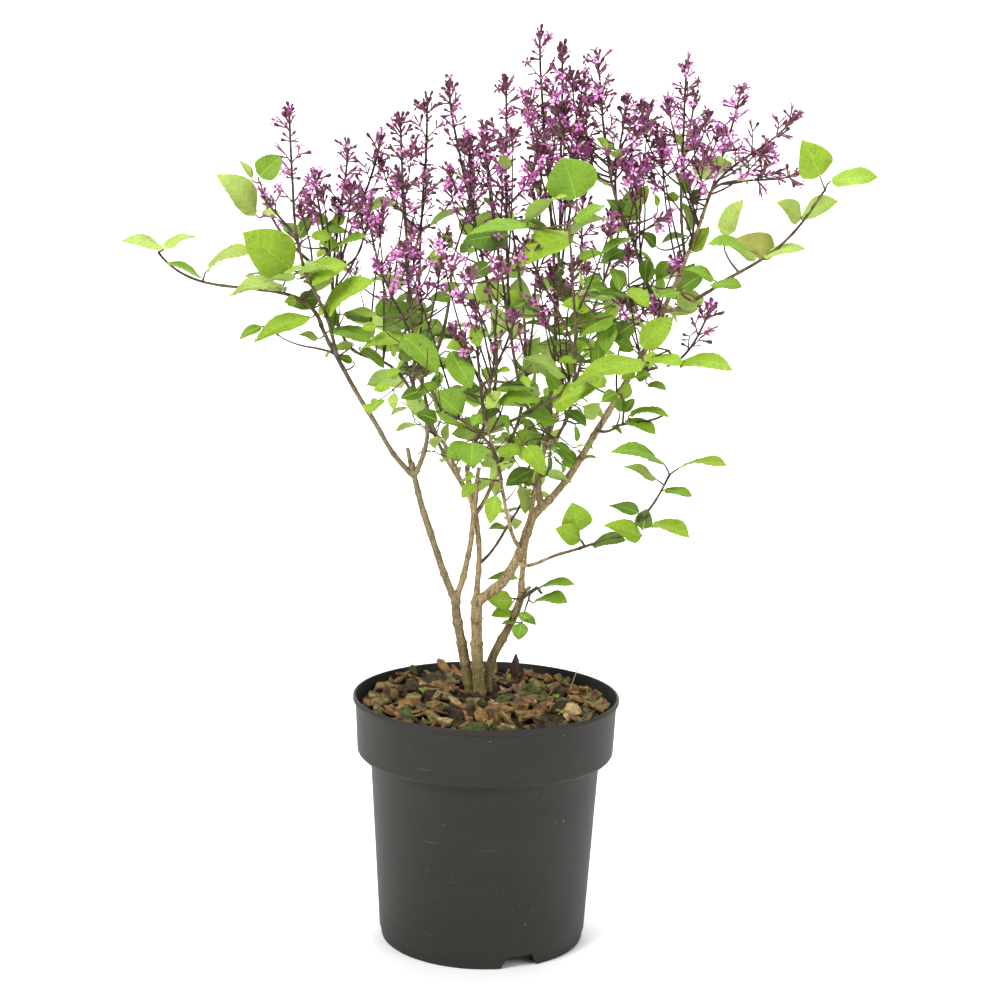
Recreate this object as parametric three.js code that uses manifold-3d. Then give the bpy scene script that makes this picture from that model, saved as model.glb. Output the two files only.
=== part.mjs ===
// A dwarf lilac in bloom, many-stemmed, in its round nursery pot.
// Millimetres, +Z up. The origin is the centre of the pot's flat underside.

import * as THREE from 'three';
import { mergeVertices } from 'three/addons/utils/BufferGeometryUtils.js';
import Module from 'manifold-3d';

const wasm = await Module();
wasm.setup();

// ---------------------------------------------------------------- driving dimensions

const GAP = 0.3;                 // air left between neighbouring pieces

const POT = {
  height: 216, wall: 2.2, floor: 4, sides: 36,
  rimRadius: 115, rimHeight: 5, rimLip: 1.6, rimRound: 0.8,
  collarRadius: 110.9, collarHeight: 53, collarStep: 4, collarRound: 2.2,
  shoulderRadius: 99.9, footRadius: 88.2, footChamfer: 1.5, floorFillet: 0.6,
  discRadius: 46, channelOuter: 80, channelHeight: 5, channelSlope: [4, 2],
};
const NOTCH = { count: 3, width: 34, taper: 6, height: 11, depth: 14, proud: 4, degrees: -68 };
const HOLE = { count: 4, radius: 6, sides: 10, ring: 64, length: 20 };

const SOIL = {
  edgeHeight: 204, flatHeight: 213, flatRadius: 26, browHeight: 211.5, browRadius: 60, stepGap: 5, sides: 24,
};
const CHIP = {
  count: 16, length: [15, 27], width: [0.45, 0.75], thickness: [4, 7], tilt: [-0.35, 0.35], bedding: 1,
  nearest: 35, furthest: 92, turn: [2.4, 2.9], seed: 5,
};

const FRAME_STEPS = 96;          // places along a curve where its directions are worked out
const LIMB = {
  flare: 0.42, flareLength: 16, flareRings: 4, ringSpacing: 28, stemSides: 8, boughSides: 6, stoutRadius: 3.5,
};
const MASS_MARGIN = 44;          // how far a leaf of a mass reaches beyond the box of its leaders' ends
const QUARTER_TURN = Math.PI / 2;
const TWIG = {
  radius: 1.3, forkRadius: 1.1, tipRadius: 0.8, sides: 3, bend: 0.28, uplift: 0.8,
  nodeSpacing: 27, lastNode: 0.99,
};
const LEAF = {
  length: 43, width: 0.72, thickness: 1.1, widest: 0.42, crest: 0.47, crestHeight: 0.6, droop: 0.05,
  lift: [0.35, 1], flatten: 0.7, rise: [-0.05, 0.15], wander: [0, 0.4], twist: [-0.45, 0.45],
  outward: 0.9, vary: [0.75, 1.15], small: 0.7,
};
const PANICLE = {
  stretch: 15, core: [2.8, 1], clusterLength: 20, taper: 0.5, vary: [0.75, 1.25], rise: 0.8,
  mostOfLeader: 0.7,
};
const SIDE_PANICLE = {
  length: 0.6, vary: [0.8, 1.2], cluster: 0.8, stalk: 20, stalkRadius: 1,
  bendOut: 0.4, bendUp: 0.25, out: 0.55, up: 0.82,
};

// ---------------------------------------------------------------- limbs

// Each limb: what it grows from and at which share of that, its tip, how far its middle bows out, and its
// radius at foot and tip. A stem has its foot on the soil instead.
const SOIL_LINE = SOIL.flatHeight + GAP;
const OLD_WOOD = 2.2;            // limbs with a stouter foot than this have old bark

const LIMBS = {
  stem_left: { foot: [-14, 12, SOIL_LINE], tip: [-28, 0, 297], bow: [2, 0, 0], radius: [4.4, 3.6] },
  stem_middle: { foot: [-5, 2, SOIL_LINE], tip: [-10, -5, 298], bow: [1, 0, 0], radius: [4.9, 4.6] },
  stem_right: { foot: [1, 14, SOIL_LINE], tip: [29, 24, 300], bow: [-3, 0, 0], radius: [3.8, 3.2] },

  left_outer: { on: 'stem_left', at: 1, tip: [-68, -15, 420], bow: [1, 0, 2], radius: [3.1, 2.2] },
  left_far: { on: 'left_outer', at: 0.9, tip: [-140, -50, 535], bow: [-4, 0, -3], radius: [2.1, 1.6] },
  left_far_up: { on: 'left_far', at: 0.8, tip: [-146, -75, 570], bow: [3, -2, 0], radius: [1.5, 1.3] },
  left_mid: { on: 'left_outer', at: 0.9, tip: [-60, -26, 472], bow: [8, 0, 0], radius: [2.1, 1.6] },
  left_cross: { on: 'left_mid', at: 0.97, tip: [-116, -12, 512], bow: [4, 0, -4], radius: [1.4, 1.2] },
  left_mid_up: { on: 'left_mid', at: 1, tip: [-64, -56, 500], bow: [-2, 0, 0], radius: [1.5, 1.3] },

  left_inner: { on: 'stem_left', at: 1, tip: [-10, 12, 412], bow: [3, 0, 0], radius: [2.7, 1.7] },
  left_inner_out: { on: 'left_inner', at: 0.65, tip: [-48, 34, 436], bow: [-2, 0, 2], radius: [1.9, 1.5] },
  left_inner_in: { on: 'left_inner', at: 0.65, tip: [18, 50, 434], bow: [0, 4, -2], radius: [1.8, 1.4] },

  right_bough: { on: 'stem_middle', at: 1, tip: [43, -20, 384], bow: [4, 0, -5], radius: [4.3, 3.4] },
  right_upright: { on: 'right_bough', at: 1, tip: [49, 14, 470], bow: [-2, 0, 0], radius: [2.5, 1.7] },
  upright_front: { on: 'right_upright', at: 0.6, tip: [60, -44, 458], bow: [0, -4, -4], radius: [1.6, 1.3] },
  upright_in: { on: 'right_upright', at: 0.8, tip: [24, 0, 478], bow: [-3, 0, -4], radius: [1.6, 1.3] },
  right_long: { on: 'right_bough', at: 1, tip: [140, -15, 550], bow: [3, 0, -3], radius: [3.0, 2.2] },
  right_high_left: { on: 'right_long', at: 1, tip: [112, -25, 613], bow: [3, 0, 2], radius: [1.7, 1.3] },
  right_high_pale: { on: 'right_long', at: 1, tip: [172, 10, 627], bow: [2, 0, 2], radius: [1.9, 1.5] },
  right_high_dark: {
    on: 'right_high_pale', at: 0.55, tip: [158, 42, 622], bow: [0, 2, 0], radius: [1.3, 1.2],
  },
  right_reach: { on: 'right_long', at: 1, tip: [180, -50, 574], bow: [0, 0, -3], radius: [1.5, 1.2] },
  right_side: { on: 'right_long', at: 0.75, tip: [126, -56, 505], bow: [2, 0, -4], radius: [1.5, 1.2] },
  right_cross: { on: 'right_long', at: 0.42, tip: [103, -50, 458], bow: [0, 0, -3], radius: [1.3, 1.1] },

  middle_back: { on: 'stem_middle', at: 1, tip: [-20, 24, 401], bow: [5, 0, 2], radius: [2.6, 1.9] },
  middle_back_up: { on: 'middle_back', at: 1, tip: [-11, 38, 436], bow: [-3, 0, 0], radius: [1.8, 1.4] },
  middle_back_out: { on: 'middle_back', at: 0.8, tip: [-62, 88, 452], bow: [0, 6, -6], radius: [1.7, 1.3] },
  dark_twig: { on: 'middle_back', at: 0.3, tip: [30, 62, 398], bow: [0, 4, -5], radius: [1.3, 1.1] },

  front_twig: { on: 'right_bough', at: 0.6, tip: [3, -68, 438], bow: [4, -6, -2], radius: [1.7, 1.3] },
  front_side: { on: 'front_twig', at: 0.75, tip: [-40, -92, 474], bow: [0, -3, -4], radius: [1.3, 1.1] },
  low_reach: { on: 'right_bough', at: 0.5, tip: [74, -60, 357], bow: [0, -6, -7], radius: [1.5, 1.2] },

  right_back: { on: 'stem_right', at: 1, tip: [56, 86, 446], bow: [-6, -2, 0], radius: [2.5, 1.6] },
  right_spur: { on: 'stem_right', at: 0.95, tip: [41, 18, 306], bow: [0, 0, -1], radius: [1.9, 1.4] },
};

// ---------------------------------------------------------------- masses of leaves and blossom

// Each mass grows on from the tip of one limb. Its leaders are the tips it reaches, each with the length of
// the panicle at its end, 0 for a leafy tip; the first leader is the stem that the others fork from.
// leafy: the shares of a leader between which it bears leaf pairs; with no panicle it is leafy to its tip.
const MASSES = {
  far_left: { on: 'left_far', seed: 3, leafy: [0.05, 1],
    leaders: [[-271, -55, 593, 0], [-192, -88, 540, 0]] },
  outer_left: { on: 'left_far_up', seed: 7, leafy: [0.02, 0.6],
    leaders: [[-165, -70, 710, 78], [-183, -96, 643, 48], [-192, -50, 628, 0]] },
  upper_left: { on: 'left_cross', seed: 11, leafy: [0.02, 0.6],
    leaders: [[-123, -10, 683, 80], [-97, 20, 691, 72], [-148, -30, 659, 60]] },
  front_left: { on: 'left_mid_up', seed: 15, leafy: [0.02, 0.7],
    leaders: [[-70, -110, 606, 46], [-92, -86, 590, 40]] },
  inner_left: { on: 'left_inner_out', seed: 19, leafy: [0.02, 0.62],
    leaders: [[-60, 40, 723, 88], [-82, 22, 705, 75], [-95, 75, 560, 0]] },
  centre_left: { on: 'middle_back_up', seed: 23, leafy: [0.02, 0.6],
    leaders: [[-40, -34, 734, 90], [-22, -60, 662, 60], [-40, 60, 600, 0]] },
  centre: { on: 'upright_in', seed: 27, leafy: [0.02, 0.6],
    leaders: [[6, -10, 737, 82], [-12, 14, 700, 70]] },
  top: { on: 'right_upright', seed: 31, leafy: [0.02, 0.5],
    leaders: [[33, 15, 777, 92], [52, -6, 764, 76], [70, 40, 700, 70]] },
  upper_right: { on: 'right_high_left', seed: 35, leafy: [0.02, 0.4],
    leaders: [[80, -20, 757, 80], [108, 24, 726, 70], [112, -50, 712, 62]] },
  right_dark: { on: 'right_high_dark', seed: 39, leafy: [0.02, 0.4],
    leaders: [[156, 20, 755, 82], [168, 62, 731, 62]] },
  right_pale: { on: 'right_high_pale', seed: 43, leafy: [0.02, 0.3],
    leaders: [[198, -12, 732, 82], [249, 30, 714, 78], [253, -4, 669, 58]] },
  far_right: { on: 'right_reach', seed: 47, leafy: [0.08, 1],
    leaders: [[271, -70, 660, 0], [214, -30, 632, 0]] },
  right_middle: { on: 'right_side', seed: 51, leafy: [0.1, 1],
    leaders: [[160, -84, 522, 0], [186, -96, 566, 50], [118, -100, 560, 0]] },
  right_cross_spray: { on: 'right_cross', seed: 55, leafy: [0.2, 1], leaders: [[141, -66, 472, 0]] },
  low_right: { on: 'low_reach', seed: 59, leafy: [0.1, 1], leafScale: 0.8,
    leaders: [[144, -108, 430, 0], [124, -60, 374, 0]] },
  low_spur: { on: 'right_spur', seed: 61, leafy: [0.15, 1], leafScale: 0.65,
    leaders: [[58, -14, 286, 0], [14, -4, 322, 0]] },
  front_leaves: { on: 'front_side', seed: 67, leafy: [0.1, 1],
    leaders: [[-60, -96, 530, 0], [-82, -80, 500, 0]] },
  front_centre: { on: 'front_twig', seed: 71, leafy: [0.02, 0.7],
    leaders: [[-14, -105, 560, 44], [18, -112, 556, 40], [62, -88, 496, 0]] },
  front_right: { on: 'upright_front', seed: 75, leafy: [0.08, 1],
    leaders: [[57, -92, 650, 0], [92, -88, 600, 0], [24, -78, 610, 48]] },
  back_left: { on: 'middle_back_out', seed: 79, leafy: [0.02, 0.5],
    leaders: [[-118, 124, 640, 74], [-64, 158, 656, 70], [-130, 90, 560, 0]] },
  back_centre: { on: 'left_inner_in', seed: 83, leafy: [0.02, 0.5],
    leaders: [[4, 140, 690, 80], [40, 104, 716, 76], [10, 150, 560, 0]] },
  back_right: { on: 'right_back', seed: 87, leafy: [0.02, 0.5],
    leaders: [[122, 140, 664, 74], [78, 160, 640, 70], [140, 90, 570, 0]] },
  back_low: { on: 'dark_twig', seed: 91, leafy: [0.1, 1], leafScale: 0.8,
    leaders: [[48, 84, 440, 0], [-4, 88, 430, 0]] },
};

// ---------------------------------------------------------------- finishes

const FINISH = {
  plastic: { color: 0x424242, roughness: 0.55, metalness: 0 },
  compost: { color: 0x6b4a32, roughness: 0.95, metalness: 0 },
  oldBark: { color: 0x8c785a, roughness: 0.85, metalness: 0 },
  youngBark: { color: 0x5a4740, roughness: 0.7, metalness: 0 },
  foliage: { color: 0x7db432, roughness: 0.55, metalness: 0 },
  blossom: { color: 0xa050a0, roughness: 0.6, metalness: 0 },
};

// ---------------------------------------------------------------- solids

const UP = new THREE.Vector3(0, 0, 1);
const BACK = new THREE.Vector3(0, 1, 0);
const NO_VOLUME = 1e-6;          // cubic millimetres, below which two solids only touch
const point = ([x, y, z]) => new THREE.Vector3(x, y, z);
const between = ([low, high], share) => THREE.MathUtils.lerp(low, high, share);

function toSolid(geometry) {
  const bare = geometry.index ? geometry.toNonIndexed() : geometry.clone();
  bare.deleteAttribute('normal');
  bare.deleteAttribute('uv');
  const merged = mergeVertices(bare, 1e-4);
  return new wasm.Manifold(new wasm.Mesh({
    numProp: 3,
    vertProperties: new Float32Array(merged.attributes.position.array),
    triVerts: new Uint32Array(merged.index.array),
  }));
}

function toGeometry(solid) {
  const mesh = solid.getMesh();
  const geometry = new THREE.BufferGeometry();
  geometry.setAttribute('position', new THREE.BufferAttribute(new Float32Array(mesh.vertProperties), 3));
  geometry.setIndex(new THREE.BufferAttribute(new Uint32Array(mesh.triVerts), 1));
  geometry.computeVertexNormals();
  return geometry;
}

function facedSolid(vertices, faces) {
  const geometry = new THREE.BufferGeometry();
  const places = vertices.flatMap((vertex) => vertex.toArray());
  geometry.setAttribute('position', new THREE.Float32BufferAttribute(places, 3));
  geometry.setIndex(faces.flat());
  return toSolid(geometry);
}

function largestBody(solid) {
  return solid.decompose().reduce((best, body) => (body.volume() > best.volume() ? body : best));
}

// The same run of numbers from 0 to 1 for the same seed.
function randomRun(seed) {
  let state = seed * 7919 + 17;
  const next = () => {
    state = (state * 1664525 + 1013904223) % 4294967296;
    return state / 4294967296;
  };
  next();
  next();
  return next;
}

// Rings of points round a curve. Each station gives a ring's share of the curve and its radius; grow makes
// the whole thicker and longer all round.
function ringsAlong(curve, stations, sides, grow) {
  const frames = curve.computeFrenetFrames(FRAME_STEPS, false);
  return stations.map(([share, radius], n) => {
    const step = Math.round(share * FRAME_STEPS);
    const push = n === 0 ? -grow : n === stations.length - 1 ? grow : 0;
    const centre = curve.getPointAt(share).addScaledVector(frames.tangents[step], push);
    return Array.from({ length: sides }, (_, side) => {
      const angle = (side / sides) * 2 * Math.PI;
      return centre.clone()
        .addScaledVector(frames.normals[step], Math.cos(angle) * (radius + grow))
        .addScaledVector(frames.binormals[step], Math.sin(angle) * (radius + grow));
    });
  });
}

// The closed skin over a row of rings. peakOf may give a point that a face between two rings rises to.
function skin(rings, peakOf = () => null) {
  const sides = rings[0].length;
  const vertices = rings.flat();
  const faces = [];
  for (let ring = 0; ring < rings.length - 1; ring += 1) {
    for (let side = 0; side < sides; side += 1) {
      const a = ring * sides + side;
      const b = ring * sides + ((side + 1) % sides);
      const corners = [a, b, b + sides, a + sides];
      const peak = peakOf(ring, side, corners.map((corner) => vertices[corner]));
      if (peak) {
        vertices.push(peak);
        corners.forEach((corner, n) => faces.push([corner, corners[(n + 1) % 4], vertices.length - 1]));
      } else {
        faces.push([a, b, a + sides], [b, b + sides, a + sides]);
      }
    }
  }
  const last = (rings.length - 1) * sides;
  for (let side = 1; side < sides - 1; side += 1) {
    faces.push([0, side + 1, side], [last, last + side, last + side + 1]);
  }
  return facedSolid(vertices, faces);
}

function evenStations(rings, radiusAt, from = 0, to = 1) {
  return Array.from({ length: rings + 1 }, (_, n) => {
    const share = THREE.MathUtils.lerp(from, to, n / rings);
    return [share, radiusAt(share)];
  });
}

// ---------------------------------------------------------------- pot and soil

function potProfile() {
  const shoulder = POT.height - POT.collarHeight;
  const rimFoot = POT.height - POT.rimHeight;
  const inner = (radius) => radius - POT.wall;
  const floorTop = POT.channelHeight + POT.floor;
  const [innerSlope, outerSlope] = POT.channelSlope;
  return [
    [0, 0], [POT.discRadius, 0], [POT.discRadius + innerSlope, POT.channelHeight],
    [POT.channelOuter - outerSlope, POT.channelHeight], [POT.channelOuter, 0],
    [POT.footRadius - POT.footChamfer, 0], [POT.footRadius, POT.footChamfer],
    [POT.shoulderRadius, shoulder], [POT.collarRadius - POT.collarRound, shoulder + POT.rimRound],
    [POT.collarRadius, shoulder + POT.collarStep],
    [POT.rimRadius - POT.rimLip, rimFoot], [POT.rimRadius, rimFoot + POT.rimRound],
    [POT.rimRadius, POT.height - POT.rimRound], [POT.rimRadius - POT.rimRound, POT.height],
    [inner(POT.rimRadius), POT.height], [inner(POT.collarRadius), shoulder + POT.collarStep + POT.wall],
    [inner(POT.shoulderRadius), shoulder + POT.wall], [inner(POT.footRadius) + POT.floorFillet, floorTop],
    [0, floorTop],
  ].map(([radius, z]) => new THREE.Vector2(radius, z));
}

function lathe(profile, sides) {
  const geometry = new THREE.LatheGeometry(profile, sides);
  geometry.rotateX(Math.PI / 2);           // the lathe's axis becomes +Z
  return geometry;
}

function makePot() {
  let pot = toSolid(lathe(potProfile(), POT.sides));
  for (let n = 0; n < NOTCH.count; n += 1) {
    const half = NOTCH.width / 2;
    const shape = new THREE.Shape([
      new THREE.Vector2(-half, -1), new THREE.Vector2(half, -1),
      new THREE.Vector2(half - NOTCH.taper, NOTCH.height),
      new THREE.Vector2(NOTCH.taper - half, NOTCH.height),
    ]);
    const cutter = new THREE.ExtrudeGeometry(shape, { depth: NOTCH.depth, bevelEnabled: false });
    cutter.rotateX(QUARTER_TURN).translate(0, POT.footRadius + NOTCH.proud, 0);
    cutter.rotateZ(THREE.MathUtils.degToRad(NOTCH.degrees) - QUARTER_TURN + (n / NOTCH.count) * 2 * Math.PI);
    pot = pot.subtract(toSolid(cutter));
  }
  for (let n = 0; n < HOLE.count; n += 1) {
    const drill = new THREE.CylinderGeometry(HOLE.radius, HOLE.radius, HOLE.length, HOLE.sides);
    drill.rotateX(QUARTER_TURN).translate(HOLE.ring, 0, POT.channelHeight);
    drill.rotateZ(((n + 0.5) / HOLE.count) * 2 * Math.PI);
    pot = pot.subtract(toSolid(drill));
  }
  return pot;
}

// The soil fills the pot, clear of its wall, and is mounded round the stems.
function makeSoil() {
  const inside = (radius) => radius - POT.wall - 2 * GAP;
  const bed = POT.channelHeight + POT.floor + GAP;
  const step = POT.height - POT.collarHeight + POT.wall;
  const collar = step + POT.collarStep;
  const edge = between([POT.collarRadius, POT.rimRadius], (SOIL.edgeHeight - collar) / (POT.height - collar));
  const profile = [
    [0, bed], [inside(POT.footRadius), bed], [inside(POT.shoulderRadius), step - GAP],
    [inside(POT.shoulderRadius), step + SOIL.stepGap], [inside(POT.collarRadius), collar + SOIL.stepGap],
    [inside(edge), SOIL.edgeHeight], [SOIL.browRadius, SOIL.browHeight],
    [SOIL.flatRadius, SOIL.flatHeight], [0, SOIL.flatHeight],
  ].map(([radius, z]) => new THREE.Vector2(radius, z));
  let soil = toSolid(lathe(profile, SOIL.sides));
  for (const chip of makeChips()) soil = soil.add(chip);
  return soil;
}

// Flat chips of bark, bedded in the soil's surface round the stems.
function makeChips() {
  const random = randomRun(CHIP.seed);
  const chips = [];
  for (let n = 0; n < CHIP.count; n += 1) {
    const length = between(CHIP.length, random());
    const radius = between([CHIP.nearest, CHIP.furthest], Math.sqrt((n + 0.5) / CHIP.count));
    const angle = n * between(CHIP.turn, random());
    const chip = new THREE.BoxGeometry(
      length, length * between(CHIP.width, random()), between(CHIP.thickness, random()),
    );
    chip.rotateX(between(CHIP.tilt, random())).rotateY(between(CHIP.tilt, random()));
    chip.rotateZ(random() * 2 * Math.PI);
    const height = between([SOIL.flatHeight, SOIL.edgeHeight], radius / POT.rimRadius) + CHIP.bedding;
    chip.translate(Math.cos(angle) * radius, Math.sin(angle) * radius, height);
    chips.push(toSolid(chip));
  }
  return chips;
}

// ---------------------------------------------------------------- stems and boughs

function bowedCurve(foot, tip, bow) {
  const middle = foot.clone().add(tip).multiplyScalar(0.5).addScaledVector(point(bow), 2);
  return new THREE.QuadraticBezierCurve3(foot, middle, tip);
}

function makeLimbs() {
  const limbs = new Map();
  for (const [name, row] of Object.entries(LIMBS)) {
    const parent = limbs.get(row.on);
    const foot = parent ? parent.curve.getPointAt(row.at) : point(row.foot);
    const curve = bowedCurve(foot, point(row.tip), row.bow);
    const length = curve.getLength();
    const flare = parent ? 0 : LIMB.flare;
    const radiusAt = (share) => between(row.radius, share)
      * (1 + flare * Math.max(0, 1 - (share * length) / LIMB.flareLength) ** 2);
    const sides = parent && row.radius[0] < LIMB.stoutRadius ? LIMB.boughSides : LIMB.stemSides;
    const rings = Math.max(3, Math.round(length / LIMB.ringSpacing) + (parent ? 0 : LIMB.flareRings));
    const shape = (grow) => skin(ringsAlong(curve, evenStations(rings, radiusAt), sides, grow));
    let solid = parent ? shape(0) : cutLevel(shape(0), SOIL_LINE);
    for (const other of limbs.values()) solid = solid.subtract(other.grown);
    solid = largestBody(solid);
    limbs.set(name, { ...row, curve, solid, grown: shape(GAP) });
  }
  return limbs;
}

// A stem is cut level where it stands on the soil.
function cutLevel(solid, height) {
  const { min, max } = solid.boundingBox();
  const depth = 2 * (height - min[2]);
  const block = new THREE.BoxGeometry(2 * (max[0] - min[0]), 2 * (max[1] - min[1]), depth);
  block.translate((min[0] + max[0]) / 2, (min[1] + max[1]) / 2, height - depth / 2);
  return solid.subtract(toSolid(block));
}

// ---------------------------------------------------------------- twigs, leaves and blossom

// How many stretches a twig has between its nodes, up to the share bloomFrom.
function nodeCount(curve, bloomFrom) {
  return Math.max(2, Math.round((curve.getLength() * bloomFrom) / TWIG.nodeSpacing));
}

// A three-sided shoot in one piece: a bare twig up to the share bloomFrom, then the core of a panicle with
// two pointed clusters of florets standing out of each stretch. spikes holds the clusters' lengths.
function shoot(curve, radii, bloomFrom, spikes, grow = 0) {
  const bareRings = nodeCount(curve, bloomFrom);
  const twigRadius = (share) => between(radii, share / bloomFrom);
  const stations = evenStations(bareRings, twigRadius, 0, bloomFrom);
  const stretches = spikes.length / 2;
  for (let k = 1; k <= stretches; k += 1) {
    stations.push([between([bloomFrom, 1], k / stretches), between(PANICLE.core, k / stretches)]);
  }
  const peakOf = (ring, side, corners) => {
    const stretch = ring - bareRings;
    const place = (side + stretch) % TWIG.sides;
    if (stretch < 0 || place === 2) return null;
    const middle = corners.reduce((sum, corner) => sum.add(corner), new THREE.Vector3());
    middle.divideScalar(corners.length);
    const share = (stations[ring][0] + stations[ring + 1][0]) / 2;
    const out = middle.clone().sub(curve.getPointAt(share)).normalize();
    const along = out.addScaledVector(curve.getTangentAt(share), PANICLE.rise).normalize();
    return middle.addScaledVector(along, spikes[2 * stretch + place] + grow);
  };
  return skin(ringsAlong(curve, stations, TWIG.sides, grow), peakOf);
}

// A leaf blade of 8 faces: a blunt root, two sides, a raised midrib and a drooping tip.
function leafBlade(root, along, face, length, grow = 0) {
  const across = new THREE.Vector3().crossVectors(face, along).normalize();
  const width = (length * LEAF.width) / 2 + grow;
  const half = LEAF.thickness / 2 + grow;
  const spot = (share, side, lift) => root.clone()
    .addScaledVector(along, share * length).addScaledVector(across, side).addScaledVector(face, lift);
  const vertices = [
    spot(0, 0, half), spot(0, 0, -half), spot(LEAF.widest, -width, 0), spot(LEAF.widest, width, 0),
    spot(1 + grow / length, 0, -LEAF.droop * length), spot(LEAF.crest, 0, half + LEAF.crestHeight),
  ];
  return facedSolid(vertices, [
    [0, 2, 5], [0, 5, 3], [2, 4, 5], [5, 4, 3], [1, 4, 2], [1, 3, 4], [0, 1, 2], [0, 3, 1],
  ]);
}

// Boxes that stay apart can't touch, so only near neighbours are cut against each other.
function boxesMeet(a, b) {
  return [0, 1, 2].every((n) => a.min[n] <= b.max[n] && b.min[n] <= a.max[n]);
}

function touches(solid, others) {
  const box = solid.boundingBox();
  const near = others.filter((other) => boxesMeet(box, other.boundingBox()));
  return near.some((other) => solid.intersect(other).volume() > NO_VOLUME);
}

// The leaders of a mass: the first grows straight on from the limb, the others fork from its first nodes.
// Each sets out along what it grows from, and turns up towards its tip.
function leadersOf(mass, limb) {
  const leaders = [];
  mass.tips.forEach(([x, y, z, blossom], n) => {
    const main = leaders[0];
    const forkShare = main && (Math.min(n, main.nodes - 1) * main.bloomFrom) / main.nodes;
    const heading = main ? main.curve.getTangentAt(forkShare) : limb.curve.getTangentAt(1);
    const from = main
      ? main.curve.getPointAt(forkShare)
      : limb.curve.getPointAt(1).addScaledVector(heading, GAP);
    const tip = new THREE.Vector3(x, y, z);
    const reach = from.distanceTo(tip);
    const arrival = tip.clone().sub(from).normalize().addScaledVector(UP, TWIG.uplift).normalize();
    const curve = new THREE.CubicBezierCurve3(
      from, from.clone().addScaledVector(heading, TWIG.bend * reach),
      tip.clone().addScaledVector(arrival, -TWIG.bend * reach), tip,
    );
    const bloomFrom = Math.max(1 - PANICLE.mostOfLeader, 1 - blossom / curve.getLength());
    const foot = main ? TWIG.forkRadius : Math.min(TWIG.radius, limb.radius[1]);
    const radii = [foot, TWIG.tipRadius];
    leaders.push({ curve, blossom, bloomFrom, radii, nodes: nodeCount(curve, bloomFrom) });
  });
  return leaders;
}

// Two directions across a twig that a leaf pair leaves it by. Each pair is turned a quarter from the last.
function pairDirections(tangent, turn) {
  const steep = Math.abs(tangent.z) > 0.95;
  const side = new THREE.Vector3().crossVectors(tangent, steep ? BACK : UP);
  side.normalize().applyAxisAngle(tangent, turn);
  return [side, side.clone().negate()];
}

// The lengths of a panicle's clusters, shorter towards its tip.
function spikeLengths(blossom, scale, random) {
  const count = blossom ? 2 * Math.max(2, Math.round(blossom / PANICLE.stretch)) : 0;
  return Array.from({ length: count }, (_, n) => (
    PANICLE.clusterLength * scale * (1 - PANICLE.taper * (n / count)) * between(PANICLE.vary, random())
  ));
}

function growLeaders(mass, place) {
  leadersOf(mass, mass.limb).forEach((leader, n) => {
    const random = randomRun(mass.seed + n);
    const spikes = spikeLengths(leader.blossom, 1, random);
    const build = (grow) => shoot(leader.curve, leader.radii, leader.bloomFrom, spikes, grow);
    const solid = place(mass, mass.leaders.map((other) => other.solid), build, n === 0);
    if (solid) mass.leaders.push({ ...leader, solid, random, first: n === 0 });
  });
}

// Smaller panicles on stalks of their own, just below the one at the leader's end: two on the first leader.
function growSidePanicles(mass, place) {
  for (const { curve, solid, blossom, bloomFrom, nodes, random, first } of mass.leaders) {
    const share = (bloomFrom * Math.max(1, nodes - 1)) / nodes;
    const tangent = curve.getTangentAt(share);
    const sides = blossom ? pairDirections(tangent, random() * Math.PI).slice(0, first ? 2 : 1) : [];
    for (const side of sides) {
      const bloom = blossom * SIDE_PANICLE.length * between(SIDE_PANICLE.vary, random());
      const reach = bloom + SIDE_PANICLE.stalk;
      const foot = curve.getPointAt(share);
      const leaving = (out, up) => foot.clone()
        .addScaledVector(side, reach * out).addScaledVector(tangent, reach * up);
      const bend = leaving(SIDE_PANICLE.bendOut, SIDE_PANICLE.bendUp);
      const stalk = new THREE.QuadraticBezierCurve3(foot, bend, leaving(SIDE_PANICLE.out, SIDE_PANICLE.up));
      const spikes = spikeLengths(bloom, SIDE_PANICLE.cluster, random);
      const radii = [SIDE_PANICLE.stalkRadius, TWIG.tipRadius];
      place(mass, [solid], (grow) => shoot(stalk, radii, SIDE_PANICLE.stalk / reach, spikes, grow));
    }
  }
}

// Leaf pairs at the nodes, turned to the light, smaller where a full-sized leaf finds no room.
function growLeaves(mass, place) {
  for (const { curve, solid, blossom, bloomFrom, nodes, random } of mass.leaders) {
    const leafy = [mass.leafy[0], blossom ? mass.leafy[1] : 1];
    for (let node = 1; node <= nodes; node += 1) {
      const share = Math.min(TWIG.lastNode, (node / nodes) * bloomFrom);
      const root = curve.getPointAt(share);
      const tangent = curve.getTangentAt(share);
      const size = LEAF.length * (mass.leafScale ?? 1) * between(LEAF.vary, random());
      const outward = new THREE.Vector3(root.x, root.y, 0).normalize();
      const light = UP.clone().addScaledVector(outward, LEAF.outward);
      const carriers = [solid];
      const turn = (nodes - node + 1) * QUARTER_TURN + between(LEAF.wander, random());
      for (const side of pairDirections(tangent, turn)) {
        const along = side.clone().addScaledVector(tangent, between(LEAF.lift, share)).normalize();
        along.z = along.z * LEAF.flatten + between(LEAF.rise, random());
        along.normalize();
        const face = light.clone().addScaledVector(along, -light.dot(along)).normalize();
        face.applyAxisAngle(along, between(LEAF.twist, random()));
        if (share < leafy[0] || share > leafy[1]) continue;
        if (!mass.room.containsPoint(root.clone().addScaledVector(along, size))) continue;
        const leaf = place(mass, carriers, (grow) => leafBlade(root, along, face, size, grow))
          ?? place(mass, carriers, (grow) => leafBlade(root, along, face, size * LEAF.small, grow));
        if (leaf) carriers.push(leaf);
      }
    }
  }
}

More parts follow.
